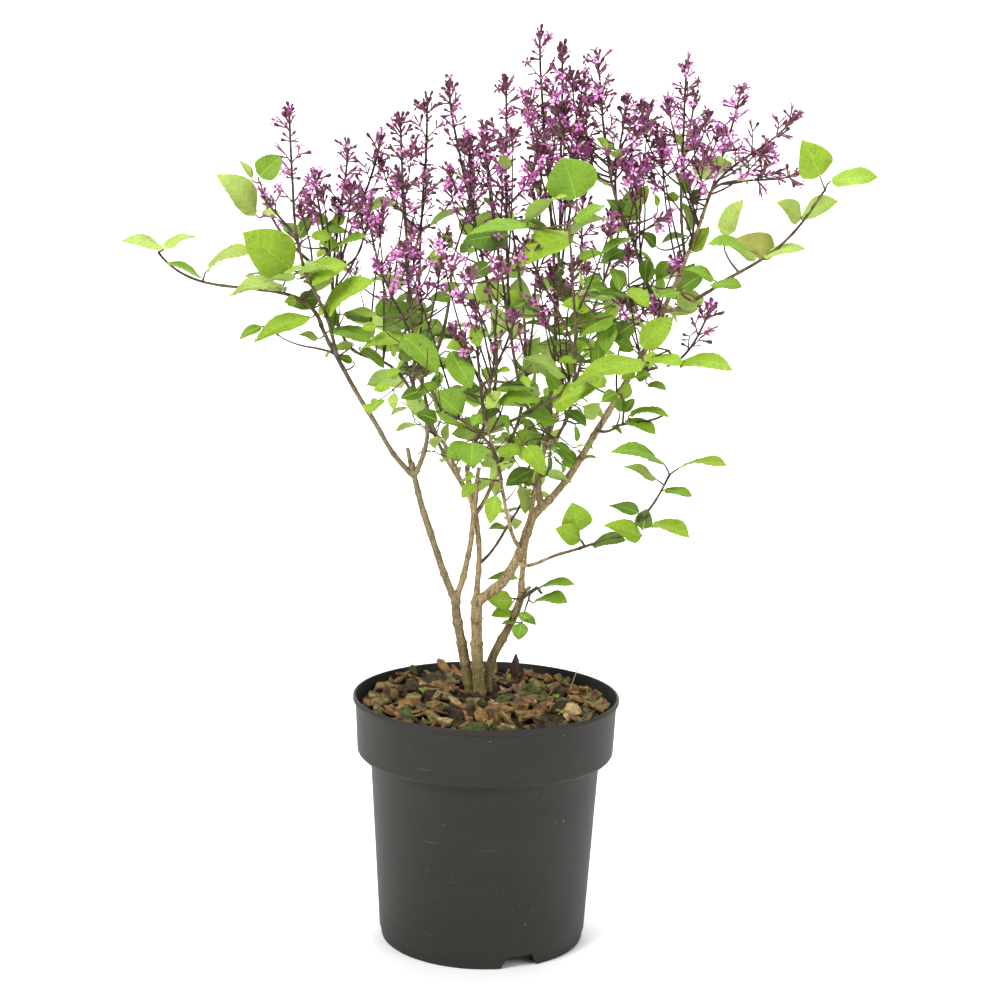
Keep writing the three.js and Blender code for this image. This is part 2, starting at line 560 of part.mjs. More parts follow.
// The leaders of all masses claim their room first, then the side panicles, then the leaves. A piece stays
// out when it would touch a limb, another mass, or anything but its carriers in its own mass.
function makeMasses(limbs) {
  const wood = [...limbs.values()].map((limb) => limb.solid);
  const masses = Object.entries(MASSES).map(([name, row]) => {
    const limb = limbs.get(row.on);
    const ends = [limb.curve.getPointAt(1), ...row.leaders.map(point)];
    const room = new THREE.Box3().setFromPoints(ends).expandByScalar(MASS_MARGIN);
    return { ...row, name, tips: row.leaders, leaders: [], limb, room, parts: [] };
  });
  const place = (mass, carriers, build, startsOnLimb = false) => {
    const crowd = mass.parts.filter((part) => !carriers.includes(part));
    const beyond = masses.filter((other) => other !== mass).flatMap((other) => other.parts);
    const solid = build(0);
    const spaced = build(GAP);
    if (touches(solid, crowd) || touches(spaced, beyond)) return null;
    if (touches(startsOnLimb ? solid : spaced, wood)) return null;
    mass.parts.push(solid);
    return solid;
  };
  for (const grow of [growLeaders, growSidePanicles, growLeaves]) masses.forEach((mass) => grow(mass, place));
  return masses;
}

// ---------------------------------------------------------------- the plant in its pot

const plant = new THREE.Group();

function addPiece(name, solid, finish) {
  const piece = new THREE.Mesh(toGeometry(solid), new THREE.MeshStandardMaterial(FINISH[finish]));
  piece.name = name;
  plant.add(piece);
}

addPiece('pot', makePot(), 'plastic');
addPiece('soil', makeSoil(), 'compost');

const limbs = makeLimbs();
for (const [name, limb] of limbs) {
  addPiece(name, limb.solid, limb.radius[0] > OLD_WOOD ? 'oldBark' : 'youngBark');
}

for (const mass of makeMasses(limbs)) {
  addPiece(mass.name, largestBody(wasm.Manifold.union(mass.parts)), mass.tips[0][3] ? 'blossom' : 'foliage');
}

export default plant;
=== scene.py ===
"""A dwarf lilac in bloom in its round nursery pot: bark, twigs, leaves and blossom for the solid model."""

import math
from collections import namedtuple

import bpy
import numpy as np
from bpy.props import FloatProperty, FloatVectorProperty, IntProperty, PointerProperty
from bpy.types import Operator, Panel, PropertyGroup
from mathutils import Matrix, Vector, noise


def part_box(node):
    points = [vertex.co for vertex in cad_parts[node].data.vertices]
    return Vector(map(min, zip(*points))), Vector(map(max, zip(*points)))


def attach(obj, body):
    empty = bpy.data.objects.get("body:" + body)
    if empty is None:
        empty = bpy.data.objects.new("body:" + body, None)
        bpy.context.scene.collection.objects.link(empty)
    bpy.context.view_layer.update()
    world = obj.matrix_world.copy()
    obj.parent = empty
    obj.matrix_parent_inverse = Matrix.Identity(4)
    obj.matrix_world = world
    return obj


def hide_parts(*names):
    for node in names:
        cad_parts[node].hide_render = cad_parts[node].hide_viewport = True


bl_info = {
    "name": "Potted Lilac",
    "version": (1, 0, 0),
    "blender": (4, 5, 0),
    "location": "View3D > Sidebar > Lilac",
    "description": "Grows bark, twigs, leaves and blossom over the solid model of a potted lilac",
    "category": "Object",
}

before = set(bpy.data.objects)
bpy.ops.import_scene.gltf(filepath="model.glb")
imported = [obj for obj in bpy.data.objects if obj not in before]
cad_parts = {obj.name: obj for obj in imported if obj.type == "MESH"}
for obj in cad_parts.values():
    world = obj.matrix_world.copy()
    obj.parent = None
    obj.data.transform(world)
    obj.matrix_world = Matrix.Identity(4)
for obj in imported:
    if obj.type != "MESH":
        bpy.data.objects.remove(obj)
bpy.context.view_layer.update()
_, POT_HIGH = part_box("pot")
BODY = "root"

# ---------------------------------------------------------------- the plant's plan, in millimetres

MM = 0.001
GAP = 0.3
SOIL_LINE = 213.3                 # height of the soil at the stems
UP = np.array([0.0, 0.0, 1.0])
BACK = np.array([0.0, 1.0, 0.0])
QUARTER_TURN = math.pi / 2
SHOOTS_BELOW = 600                # above this height the twigs bear flowers rather than leafy side shoots
LEAVES_BELOW = 655                # and above this one a flowering twig bears no leaves at all

TWIG = {"bend": 0.28, "uplift": 0.8, "node_spacing": 27, "last_node": 0.99}
LEAF = {
    "length": 43, "lift": (0.35, 1), "flatten": 0.7, "rise": (-0.05, 0.15), "wander": (0, 0.4),
    "twist": (-0.45, 0.45), "outward": 0.9, "vary": (0.75, 1.15),
}
FORESHORTENED = 1.15              # how much wider a leaf is than it looks, when its facing is given
MOST_SEEN = 0.97                  # the most of a leaf's width that shows
NARROWEST = 0.62                  # the least width, in lengths, of a leaf that is set by what shows
PANICLE = {"stretch": 15, "most_of_leader": 0.7}
SIDE_PANICLE = {
    "length": 0.6, "vary": (0.8, 1.2), "stalk": 20, "bend_out": 0.4, "bend_up": 0.25, "out": 0.55, "up": 0.82,
}

# Each limb: what it grows from and at which share of that, its tip, how far its middle bows out, its radius
# at foot and tip, and the age of its bark at foot and tip. A stem has its foot on the soil instead.
LIMBS = {
    "stem_left": (None, (-14, 12), (-28, 0, 297), (2, 0, 0), (4.4, 3.6), "old old"),
    "stem_middle": (None, (-5, 2), (-10, -5, 298), (1, 0, 0), (4.9, 4.6), "old old"),
    "stem_right": (None, (1, 14), (29, 24, 300), (-3, 0, 0), (3.8, 3.2), "old old"),
    "left_outer": ("stem_left", 1, (-68, -15, 420), (1, 0, 2), (3.1, 2.2), "old old"),
    "left_far": ("left_outer", 0.9, (-140, -50, 535), (-4, 0, -3), (2.1, 1.6), "old young"),
    "left_far_up": ("left_far", 0.8, (-146, -75, 570), (3, -2, 0), (1.5, 1.3), "young young"),
    "left_mid": ("left_outer", 0.9, (-60, -26, 472), (8, 0, 0), (2.1, 1.6), "old old"),
    "left_cross": ("left_mid", 0.97, (-116, -12, 512), (4, 0, -4), (1.4, 1.2), "young young"),
    "left_mid_up": ("left_mid", 1, (-64, -56, 500), (-2, 0, 0), (1.5, 1.3), "old young"),
    "left_inner": ("stem_left", 1, (-10, 12, 412), (3, 0, 0), (2.7, 1.7), "old old"),
    "left_inner_out": ("left_inner", 0.65, (-48, 34, 436), (-2, 0, 2), (1.9, 1.5), "old old"),
    "left_inner_in": ("left_inner", 0.65, (18, 50, 434), (0, 4, -2), (1.8, 1.4), "old young"),
    "right_bough": ("stem_middle", 1, (43, -20, 384), (4, 0, -5), (4.3, 3.4), "old old"),
    "right_upright": ("right_bough", 1, (49, 14, 470), (-2, 0, 0), (2.5, 1.7), "old young"),
    "upright_front": ("right_upright", 0.6, (60, -44, 458), (0, -4, -4), (1.6, 1.3), "old young"),
    "upright_in": ("right_upright", 0.8, (24, 0, 478), (-3, 0, -4), (1.6, 1.3), "old young"),
    "right_long": ("right_bough", 1, (140, -15, 550), (3, 0, -3), (3.0, 2.2), "old old"),
    "right_high_left": ("right_long", 1, (112, -25, 613), (3, 0, 2), (1.7, 1.3), "young young"),
    "right_high_pale": ("right_long", 1, (172, 10, 627), (2, 0, 2), (1.9, 1.5), "old old"),
    "right_high_dark": ("right_high_pale", 0.55, (158, 42, 622), (0, 2, 0), (1.3, 1.2), "young young"),
    "right_reach": ("right_long", 1, (180, -50, 574), (0, 0, -3), (1.7, 1.4), "old young"),
    "right_side": ("right_long", 0.75, (126, -56, 505), (2, 0, -4), (1.5, 1.2), "old young"),
    "right_cross": ("right_long", 0.42, (103, -50, 458), (0, 0, -3), (1.3, 1.1), "young young"),
    "middle_back": ("stem_middle", 1, (-20, 24, 401), (5, 0, 2), (2.6, 1.9), "old old"),
    "middle_back_up": ("middle_back", 1, (-11, 38, 436), (-3, 0, 0), (1.8, 1.4), "old young"),
    "middle_back_out": ("middle_back", 0.8, (-62, 88, 452), (0, 6, -6), (1.7, 1.3), "old young"),
    "dark_twig": ("middle_back", 0.3, (30, 62, 398), (0, 4, -5), (1.3, 1.1), "young young"),
    "front_twig": ("right_bough", 0.6, (3, -68, 438), (4, -6, -2), (1.7, 1.3), "old old"),
    "front_side": ("front_twig", 0.75, (-40, -92, 474), (0, -3, -4), (1.3, 1.1), "young young"),
    "low_reach": ("right_bough", 0.5, (74, -60, 357), (0, -6, -7), (1.5, 1.2), "old young"),
    "right_back": ("stem_right", 1, (56, 86, 446), (-6, -2, 0), (2.5, 1.6), "old old"),
    "right_spur": ("stem_right", 0.95, (41, 18, 306), (0, 0, -1), (1.9, 1.4), "old young"),
}

# Each mass of twigs: the limb whose tip it grows on from, its seed, the shares of a leader between which it
# is leafy, the size of its leaves, how many side shoots it has, and its leaders' tips, each with the length
# of the panicle at its end.
MASSES = {
    "far_left": ("left_far", 3, (0.05, 1), 1, 0.1, [(-271, -55, 593, 0), (-192, -88, 540, 0)]),
    "outer_left": ("left_far_up", 7, (0.02, 0.6), 1, 0.3,
                   [(-165, -70, 710, 78), (-183, -96, 643, 48), (-192, -50, 628, 0)]),
    "upper_left": ("left_cross", 11, (0.02, 0.6), 1, 0.4,
                   [(-123, -10, 683, 80), (-97, 20, 691, 72), (-148, -30, 659, 60)]),
    "front_left": ("left_mid_up", 15, (0.02, 0.7), 1, 0.4, [(-70, -110, 606, 46), (-92, -86, 590, 40)]),
    "inner_left": ("left_inner_out", 19, (0.02, 0.62), 1, 0.4,
                   [(-60, 40, 723, 88), (-82, 22, 705, 68), (-95, 75, 560, 0)]),
    "centre_left": ("middle_back_up", 23, (0.02, 0.6), 1, 0.35,
                    [(-40, -34, 734, 90), (-22, -60, 662, 60), (-40, 60, 600, 0)]),
    "centre": ("upright_in", 27, (0.02, 0.6), 1, 0.2, [(6, -10, 737, 76), (-12, 14, 700, 70)]),
    "top": ("right_upright", 31, (0.02, 0.5), 1, 0.2,
            [(33, 15, 777, 92), (52, -6, 764, 76), (70, 40, 700, 70)]),
    "upper_right": ("right_high_left", 35, (0.02, 0.4), 1, 0.15,
                    [(80, -20, 757, 80), (108, 24, 726, 70), (112, -50, 712, 62)]),
    "right_dark": ("right_high_dark", 39, (0.02, 0.4), 1, 0.1, [(156, 20, 755, 74), (168, 62, 731, 62)]),
    "right_pale": ("right_high_pale", 43, (0.02, 0.3), 1, 0.1,
                   [(198, -12, 732, 70), (249, 30, 714, 78), (253, -4, 669, 58)]),
    "far_right": ("right_reach", 47, (0.08, 1), 1, 0.1, [(271, -70, 660, 0), (214, -30, 632, 0)]),
    "right_middle": ("right_side", 51, (0.1, 1), 1, 0.25,
                     [(160, -84, 522, 0), (173, -96, 563, 54), (118, -100, 560, 0)]),
    "right_cross_spray": ("right_cross", 55, (0.2, 1), 1, 0.2, [(141, -66, 472, 0)]),
    "low_right": ("low_reach", 59, (0.1, 1), 0.8, 0.12, [(144, -108, 430, 0), (124, -60, 374, 0)]),
    "low_spur": ("right_spur", 61, (0.15, 1), 0.65, 0.6, [(46, 9, 304, 0), (14, -4, 322, 0)]),
    "front_leaves": ("front_side", 67, (0.1, 1), 1, 0.9, [(-60, -96, 530, 0), (-82, -80, 500, 0)]),
    "front_centre": ("front_twig", 71, (0.02, 0.7), 1, 0.45,
                     [(-14, -105, 560, 44), (18, -112, 556, 40), (62, -88, 496, 0)]),
    "front_right": ("upright_front", 75, (0.08, 1), 1, 0.3,
                    [(57, -92, 650, 0), (92, -88, 600, 0), (24, -78, 610, 48)]),
    "back_left": ("middle_back_out", 79, (0.02, 0.5), 1, 0.3,
                  [(-118, 124, 640, 74), (-64, 158, 656, 70), (-130, 90, 560, 0)]),
    "back_centre": ("left_inner_in", 83, (0.02, 0.5), 1, 0.3,
                    [(4, 140, 690, 80), (40, 104, 716, 76), (10, 150, 560, 0)]),
    "back_right": ("right_back", 87, (0.02, 0.5), 1, 0.3,
                   [(122, 140, 664, 74), (78, 160, 640, 70), (140, 90, 570, 0)]),
    "back_low": ("dark_twig", 91, (0.1, 1), 0.8, 0.5, [(48, 84, 440, 0), (-4, 88, 430, 0)]),
}

# How far right and up a drawn limb, or a mass's first leader, stands off its plain curve at each quarter.
BENDS = {
    "stem_left": [(-1.6, -0.2), (-2.8, -0.6), (-2.2, -0.6), (0, 0)],
    "stem_middle": [(-1.9, 0), (-2.4, 0), (-1.8, 0), (0, 0)],
    "stem_right": [(-2.8, 0.8), (-0.5, 0.1), (1.7, -0.8), (0, 0)],
    "left_outer": [(-3.3, -1), (-3.6, -1.2), (-2.3, -0.8), (0, 0)],
    "left_far": [(-1.2, -0.9), (0.7, 0.5), (0.7, 0.5), (0, 0)],
    "left_cross": [(4, 4), (6, 8), (4, 5), (0, 0)],
    "left_inner": [(1.5, -0.3), (0.9, -0.2), (-0.5, 0), (0, 0)],
    "left_inner_out": [(2.8, 1.5), (3.4, 1.6), (3.6, 1.6), (0, 0)],
    "left_inner_in": [(2.3, -1.2), (0.9, -0.4), (-0.5, 0.1), (0, 0)],
    "right_bough": [(2.6, -2.2), (1.6, -1.2), (-2.1, 1), (0, 0)],
    "right_upright": [(-1.5, 0), (0.8, 0), (3.2, -0.5), (0, 0)],
    "right_long": [(2.8, -1.7), (1.2, -0.9), (1.4, -0.5), (0, 0)],
    "front_twig": [(-6, -1.4), (-5.7, -1.6), (-2.9, -0.9), (0, 0)],
    "front_side": [(7, 9), (9, 11), (6, 7), (0, 0)],
    "low_reach": [(-0.2, -1.3), (-0.5, 3.3), (-2.1, 4.5), (0, 0)],
    "dark_twig": [(3.3, -1.9), (5.1, -2.5), (6, -3), (0, 0)],
    "right_high_left": [(-4.5, -1.6), (-5.2, -2.3), (-3.4, -1.9), (0, 0)],
    "far_left": [(1.5, 4.1), (0.1, -0.3), (-0.8, -3.5), (-1, 0)],
    "far_right": [(1.2, -1.8), (1.8, -2.3), (-1.5, 1.5), (-9, -6)],
    "low_right": [(4.5, -6.5), (6, -8), (3, -3.6), (-1, -2)],
}

# The camera: where its eye is, in millimetres, and how far it looks down and leans, in radians. A place that
# is given in its view is written as how far across and down the view it lies, in thousandths of the view's
# width, and how far behind the middle of the pot it is, in millimetres.
EYE = np.array([8.37, -1741.09, 685.56])
LOOK_DOWN, LEAN = 0.1703, 0.0211
VIEW = 1000
REACH = 2075.06                   # how far from the eye a thousandth of the view is a millimetre wide

# Leaves that are set one by one: root and tip of the blade, its width in the view, the way it faces and its
# green; green 1 is partly a darker tone and partly painted shade, green 2 is painted shade. A way of 1 or -1
# turns its upper or its under side to the eye, just so far that it looks that wide.
SEEN_LEAVES = [
    ((163, 248, -55), (121, 238, -72), 13, 1, 3), ((164, 248, -55), (196, 232, -40), 11, 1, 3),
    ((208, 269, -52), (250, 245, -75), 12, 1, 3), ((202, 279, -52), (166, 261, -66), 7, 1, 1),
    ((291, 269, -62), (243, 231, -80), 43, (0.5, -0.9, 0), 0), ((285, 287, -60), (227, 291, -88), 15, 1, 3),
    ((282, 276, -50), (243, 273, -42), 8, 1, 1), ((305, 280, -66), (347, 262, -80), 23, 1, 0),
    ((296, 279, -72), (262, 279, -88), 9, -1, 3), ((300, 277, -74), (330, 263, -90), 9, -1, 3),
    ((326, 312, -56), (372, 276, -78), 21, 1, 0), ((311, 317, -58), (250, 338, -76), 21, (0, -0.6, 0.8), 0),
    ((262, 327, -60), (237, 338, -70), 11, (0.1, -0.7, 0.7), 1),
    ((318, 338, -52), (298, 334, -60), 9, 1, 3), ((318, 304, -48), (285, 303, -38), 15, 1, 1),
    ((331, 330, -48), (372, 338, -66), 14, 1, 1), ((312, 289, -44), (332, 280, -30), 12, -1, 3),
    ((256, 214, -58), (219, 170, -74), 27, 1, 3), ((259, 177, -52), (283, 154, -44), 26, 1, 1),
    ((251, 179, -52), (240, 159, -48), 7, 1, 3), ((263, 217, -54), (281, 210, -44), 10, 1, 3),
    ((820, 176, -66), (803, 139, -74), 37, 1, 0), ((832, 181, -68), (878, 175, -80), 18, 1, 0),
    ((800, 218, -72), (778, 201, -92), 21, 1, 3), ((802, 217, -72), (836, 199, -60), 16, -1, 3),
    ((725, 236, -36), (741, 196, -30), 21, 1, 3), ((775, 252, -56), (735, 237, -66), 27, 1, 4),
    ((753, 250, -62), (708, 242, -84), 9, 1, 1), ((763, 255, -62), (806, 246, -80), 11, 1, 3),
    ((712, 285, -58), (742, 285, -72), 10, 1, 1), ((714, 280, -54), (686, 266, -62), 11, 1, 1),
    ((683, 288, -38), (705, 272, -30), 18, 1, 2), ((676, 303, -40), (706, 297, -28), 24, 1, 3),
    ((693, 252, 2), (708, 224, 10), 17, 1, 0), ((690, 231, 20), (684, 200, 28), 12, -1, 3),
    ((688, 236, 14), (661, 241, 6), 6, 1, 2), ((681, 364, -88), (731, 363, -134), 27, (-0.3, -0.4, 0.9), 0),
    ((652, 358, -82), (684, 362, -98), 13, 1, 0), ((642, 347, -70), (672, 317, -84), 27, 1, 0),
    ((644, 362, -84), (564, 385, -114), 39, (0, -0.3, 0.9), 0), ((648, 384, -64), (667, 389, -76), 9, 1, 1),
    ((630, 415, -58), (671, 412, -72), 9, 1, 0), ((626, 421, -56), (657, 433, -74), 14, 1, 0),
    ((624, 412, -50), (634, 397, -44), 10, 1, 1), ((578, 531, -62), (573, 502, -66), 33, 1, 0),
    ((580, 539, -64), (557, 528, -78), 21, 1, 0), ((594, 545, -64), (625, 537, -80), 14, 1, 2),
    ((641, 536, -88), (603, 523, -100), 21, 1, 0), ((639, 513, -90), (608, 503, -80), 13, 1, 2),
    ((643, 529, -88), (647, 508, -86), 19, 1, 2),
    ((652, 525, -92), (689, 532, -130), 22, (-0.2, -0.4, 0.9), 0),
    ((662, 463, -104), (613, 445, -134), 26, (0.4, -0.3, 0.9), 1),
    ((656, 479, -100), (624, 464, -108), 10, 1, 3), ((664, 490, -100), (693, 494, -110), 9, 1, 1),
    ((683, 466, -108), (727, 460, -137), 24, (-0.2, -0.1, 1), 0), ((538, 590, 14), (575, 580, 0), 7, 1, 1),
    ((534, 602, 12), (568, 597, -6), 9, 1, 1), ((519, 579, 26), (487, 577, 30), 8, 1, 1),
    ((512, 602, 22), (488, 600, 10), 19, 1, 0), ((511, 611, 20), (491, 615, 8), 13, 1, 0),
    ((521, 616, 12), (536, 624, 0), 11, 1, 2), ((522, 623, 12), (517, 640, 4), 17, 1, 1),
    ((515, 622, 16), (500, 624, 10), 5, 1, 1), ((576, 199, -66), (563, 156, -70), 52, 1, 1),
    ((527, 222, -70), (565, 190, -84), 13, -1, 3), ((571, 234, -72), (517, 262, -92), 27, 1, 0),
    ((509, 235, -56), (463, 240, -66), 26, 1, 2), ((534, 226, -74), (466, 230, -84), 10, 1, 1),
    ((626, 219, 6), (642, 199, 10), 18, (0, -0.9, 0.5), 1), ((624, 250, -50), (600, 262, -62), 15, 1, 2),
    ((403, 336, -88), (441, 372, -104), 29, 1, 1), ((450, 352, -82), (472, 388, -98), 27, 1, 1),
    ((563, 377, -86), (521, 354, -100), 14, 1, 3), ((553, 405, -84), (596, 386, -98), 27, 1, 0),
    ((462, 416, -84), (436, 391, -94), 32, (0.5, -0.9, 0), 1), ((540, 400, -82), (495, 398, -96), 14, 1, 0),
    ((590, 308, -66), (561, 304, -76), 14, 1, 0), ((612, 315, -62), (578, 335, -74), 21, 1, 1),
    ((632, 325, -50), (610, 340, -60), 19, 1, 2), ((415, 306, -50), (383, 330, -60), 29, 1, 2),
    ((628, 290, -50), (650, 306, -64), 15, 1, 0), ((527, 446, -70), (546, 475, -80), 23, 1, 0),
    ((533, 470, 0), (505, 485, -10), 18, 1, 2), ((496, 496, -60), (489, 524, -66), 18, 1, 0),
    ((520, 486, -10), (528, 514, -16), 14, 1, 3), ((548, 475, -20), (575, 480, -34), 8, -1, 3),
    ((505, 527, -20), (488, 528, -30), 8, 1, 2), ((575, 463, -20), (556, 447, -10), 14, 1, 1),
    ((512, 462, -66), (488, 480, -60), 11, -1, 3), ((583, 458, -30), (597, 456, -36), 5, 1, 1),
    ((566, 412, -70), (588, 424, -84), 13, 1, 2), ((415, 395, -60), (441, 384, -72), 14, 1, 1),
    ((466, 442, -66), (446, 458, -76), 15, 1, 1), ((478, 446, -62), (472, 470, -70), 16, 1, 2),
    ((624, 217, 8), (607, 197, 6), 15, (0.6, -0.8, 0.2), 2),
    ((628, 213, 16), (632, 188, 20), 14, (-0.5, -0.8, 0.3), 1), ((640, 205, -6), (647, 184, 0), 12, 1, 0),
    ((658, 206, -20), (655, 193, -22), 6, 1, 0), ((678, 196, 10), (664, 199, 4), 10, 1, 0),
    ((683, 190, 10), (690, 170, 14), 12, 1, 0), ((627, 229, -30), (613, 232, -36), 5, 1, 1),
    ((632, 238, -60), (598, 253, -70), 8, 1, 1), ((647, 260, -30), (645, 284, -36), 14, 1, 2),
    ((661, 224, -20), (655, 231, -26), 5, 1, 0), ((613, 268, -46), (621, 290, -56), 12, 1, 1),
    ((680, 292, -50), (655, 297, -56), 9, 1, 1), ((755, 262, -64), (730, 244, -70), 10, -1, 3),
    ((628, 296, -50), (598, 292, -60), 9, 1, 2), ((616, 306, -56), (604, 328, -62), 12, 1, 0),
    ((608, 324, -60), (606, 353, -70), 22, 1, 1), ((632, 346, -50), (618, 350, -60), 12, 1, 1),
    ((652, 352, -76), (650, 368, -84), 14, 1, 0), ((572, 345, -60), (588, 347, -64), 12, 1, 0),
    ((577, 360, -70), (556, 362, -76), 8, 1, 0), ((634, 372, -66), (621, 379, -72), 12, 1, 0),
    ((636, 378, -60), (651, 374, -66), 12, 1, 1), ((604, 376, -70), (595, 388, -74), 14, 1, 0),
    ((616, 393, -50), (601, 402, -56), 14, 1, 1), ((620, 412, -40), (622, 396, -40), 12, 1, 1),
    ((586, 418, -40), (600, 402, -34), 16, -1, 3), ((580, 412, -60), (567, 418, -64), 7, 1, 2),
    ((575, 426, -50), (578, 442, -54), 6, 1, 1), ((613, 425, -44), (622, 434, -50), 6, 1, 0),
    ((418, 392, -70), (400, 398, -76), 14, 1, 2), ((437, 420, -66), (416, 412, -70), 16, 1, 2),
    ((447, 421, -70), (467, 429, -76), 8, 1, 0), ((533, 484, -6), (523, 480, -10), 9, 1, 0),
    ((556, 420, -70), (520, 412, -84), 18, 1, 1), ((525, 386, -84), (490, 391, -94), 10, 1, 1),
    ((480, 388, -60), (463, 394, -66), 9, 1, 2), ((462, 392, -70), (480, 404, -76), 12, 1, 1),
    ((500, 402, -40), (482, 420, -46), 14, 1, 2), ((479, 430, -56), (462, 418, -60), 14, 1, 1),
    ((527, 430, -30), (515, 448, -36), 14, 1, 0), ((524, 446, -40), (521, 461, -44), 9, 1, 0),
    ((560, 390, -50), (545, 372, -50), 16, 1, 1), ((556, 443, -30), (572, 452, -34), 8, 1, 1),
    ((562, 461, -20), (574, 468, -24), 8, 1, 1), ((546, 476, -16), (568, 480, -20), 6, -1, 3),
    ((476, 484, -20), (460, 498, -26), 12, 1, 0), ((440, 377, -60), (431, 388, -62), 9, 1, 2),
    ((296, 300, -60), (284, 302, -66), 11, 1, 0), ((299, 300, -50), (322, 297, -44), 17, 1, 2),
    ((298, 234, -60), (282, 228, -64), 10, 1, 1), ((311, 236, -50), (332, 236, -46), 11, 1, 0),
    ((338, 246, -40), (366, 234, -46), 7, 1, 1), ((338, 226, -10), (342, 209, -6), 13, 1, 0),
    ((322, 226, -10), (322, 212, -6), 12, 1, 0), ((312, 290, -48), (334, 277, -54), 12, -1, 3),
    ((376, 314, -60), (347, 310, -66), 9, 1, 0), ((376, 326, -70), (361, 328, -74), 10, 1, 0),
    ((334, 311, -50), (332, 330, -56), 11, 1, 2), ((327, 304, -60), (319, 316, -64), 10, 1, 0),
    ((472, 443, -84), (472, 468, -92), 27, (0, -0.9, 0.4), 1),
    ((450, 297, -40), (428, 300, -50), 13, (0.1, -0.8, 0.5), 1),
    ((492, 263, -30), (464, 280, -40), 15, (0.2, -0.8, 0.5), 2),
    ((440, 271, -60), (437, 254, -66), 13, (0.3, -0.9, 0.2), 3),
    ((432, 262, -50), (435, 248, -54), 9, (-0.3, -0.9, 0.2), 0),
    ((522, 301, -50), (510, 290, -56), 12, (0.3, -0.9, 0.4), 0),
    ((525, 303, -56), (502, 314, -64), 8, (0.1, -0.5, 0.8), 2),
    ((500, 303, -60), (491, 287, -66), 8, (0.5, -0.8, 0.2), 3),
    ((541, 321, -40), (533, 304, -50), 10, (0.4, -0.8, 0.3), 3),
    ((545, 325, -50), (520, 322, -62), 9, (0, -0.5, 0.8), 2),
    ((460, 284, -44), (443, 291, -54), 9, (0.1, -0.6, 0.7), 1),
    ((634, 349, -50), (612, 337, -60), 14, (0.3, -0.8, 0.5), 1),
    ((570, 348, -60), (588, 346, -70), 11, (0, -0.7, 0.7), 0),
    ((559, 351, -40), (588, 360, -50), 10, (0.1, -0.7, 0.7), 2),
    ((598, 362, -40), (597, 340, -46), 13, (0.2, -0.9, 0.2), 1),
    ((590, 319, -50), (577, 307, -60), 11, (0.3, -0.8, 0.4), 0),
    ((560, 343, -50), (535, 345, -60), 9, (0, -0.6, 0.8), 1),
    ((560, 268, -30), (549, 286, -40), 14, (-0.3, -0.9, 0.2), 2),
    ((300, 238, -30), (283, 223, -34), 13, (0.5, -0.8, 0.3), 3),
    ((322, 240, 0), (345, 214, -10), 15, (-0.5, -0.8, 0.3), 1),
    ((348, 232, -20), (321, 229, -30), 11, (0, -0.6, 0.8), 1),
    ((572, 301, 30), (546, 270, 24), 17, (0.4, -0.8, 0.3), 2),
    ((576, 262, 10), (602, 250, 0), 13, (-0.3, -0.7, 0.6), 1),
    ((584, 287, 20), (602, 276, 10), 13, (-0.3, -0.8, 0.4), 1),
    ((636, 312, 30), (618, 290, 20), 14, (0.3, -0.8, 0.4), 2),
    ((612, 322, 20), (630, 342, 14), 15, (0.4, -0.7, 0.5), 2),
    ((556, 330, 20), (578, 318, 14), 12, (0.1, -0.7, 0.7), 1),
    ((672, 292, 20), (698, 303, 4), 15, (-0.1, -0.7, 0.7), 1),
    ((584, 362, 10), (562, 355, 0), 11, (0.1, -0.6, 0.8), 2),
    ((606, 300, 40), (584, 292, 34), 10, (0.1, -0.7, 0.7), 2),
    ((322, 238, -10), (339, 251, -24), 14, (-0.2, -0.7, 0.7), 0),
    ((299, 237, 10), (312, 214, 2), 13, (-0.3, -0.9, 0.2), 2),
    ((452, 247, -30), (440, 235, -36), 11, (0.3, -0.8, 0.5), 1),
    ((690, 192, 20), (676, 172, 12), 14, (0.4, -0.8, 0.3), 1),
    ((651, 281, 10), (641, 258, 2), 15, (0.4, -0.9, 0.1), 1),
    ((680, 290, 20), (694, 263, 10), 20, (-0.5, -0.8, 0.2), 0),
    ((627, 285, 20), (612, 270, 10), 14, (0.3, -0.8, 0.4), 3),
    ((362, 348, -30), (386, 367, -40), 13, (0, -0.6, 0.8), 1),
    ((592, 346, 20), (574, 338, 10), 12, (0.1, -0.6, 0.8), 1),
    ((568, 334, -50), (592, 326, -60), 10, (-0.1, -0.7, 0.7), 0),
    ((600, 373, 20), (590, 346, 14), 14, (0.3, -0.9, 0.2), 2),
    ((344, 314, -16), (373, 319, -20), 15, (0.1, -0.7, 0.7), 2),
    ((373, 337, -30), (363, 325, -34), 13, (0.2, -0.8, 0.5), 3),
    ((410, 337, -60), (359, 344, -66), 20, (0.1, -0.5, 0.9), 0),
    ((573, 331, 16), (586, 305, 10), 16, (-0.3, -0.9, 0.2), 2),
    ((560, 344, -10), (588, 350, -14), 12, (0, -0.6, 0.8), 1),
    ((700, 304, -20), (673, 314, -26), 13, (0.1, -0.8, 0.5), 3),
    ((519, 614, 10), (534, 623, 4), 10, (-0.2, -0.7, 0.7), 1),
    ((655, 246, 20), (640, 232, 12), 13, (0.2, -0.8, 0.5), 2),
    ((670, 262, 20), (655, 280, 14), 14, (0.1, -0.8, 0.5), 1),
    ((352, 343, -36), (331, 351, -42), 10, (0.1, -0.7, 0.6), 3),
    ((352, 361, -30), (337, 355, -34), 8, (0.1, -0.8, 0.5), 1),
    ((284, 275, -70), (327, 259, -64), 13, (0, -0.3, 0.9), 3),
    ((609, 291, 0), (589, 284, -6), 11, (0.1, -0.7, 0.6), 1),
    ((616, 292, 12), (620, 272, 6), 13, (-0.2, -0.9, 0.2), 2),
    ((631, 289, -12), (650, 308, -18), 17, (0, -0.8, 0.6), 0),
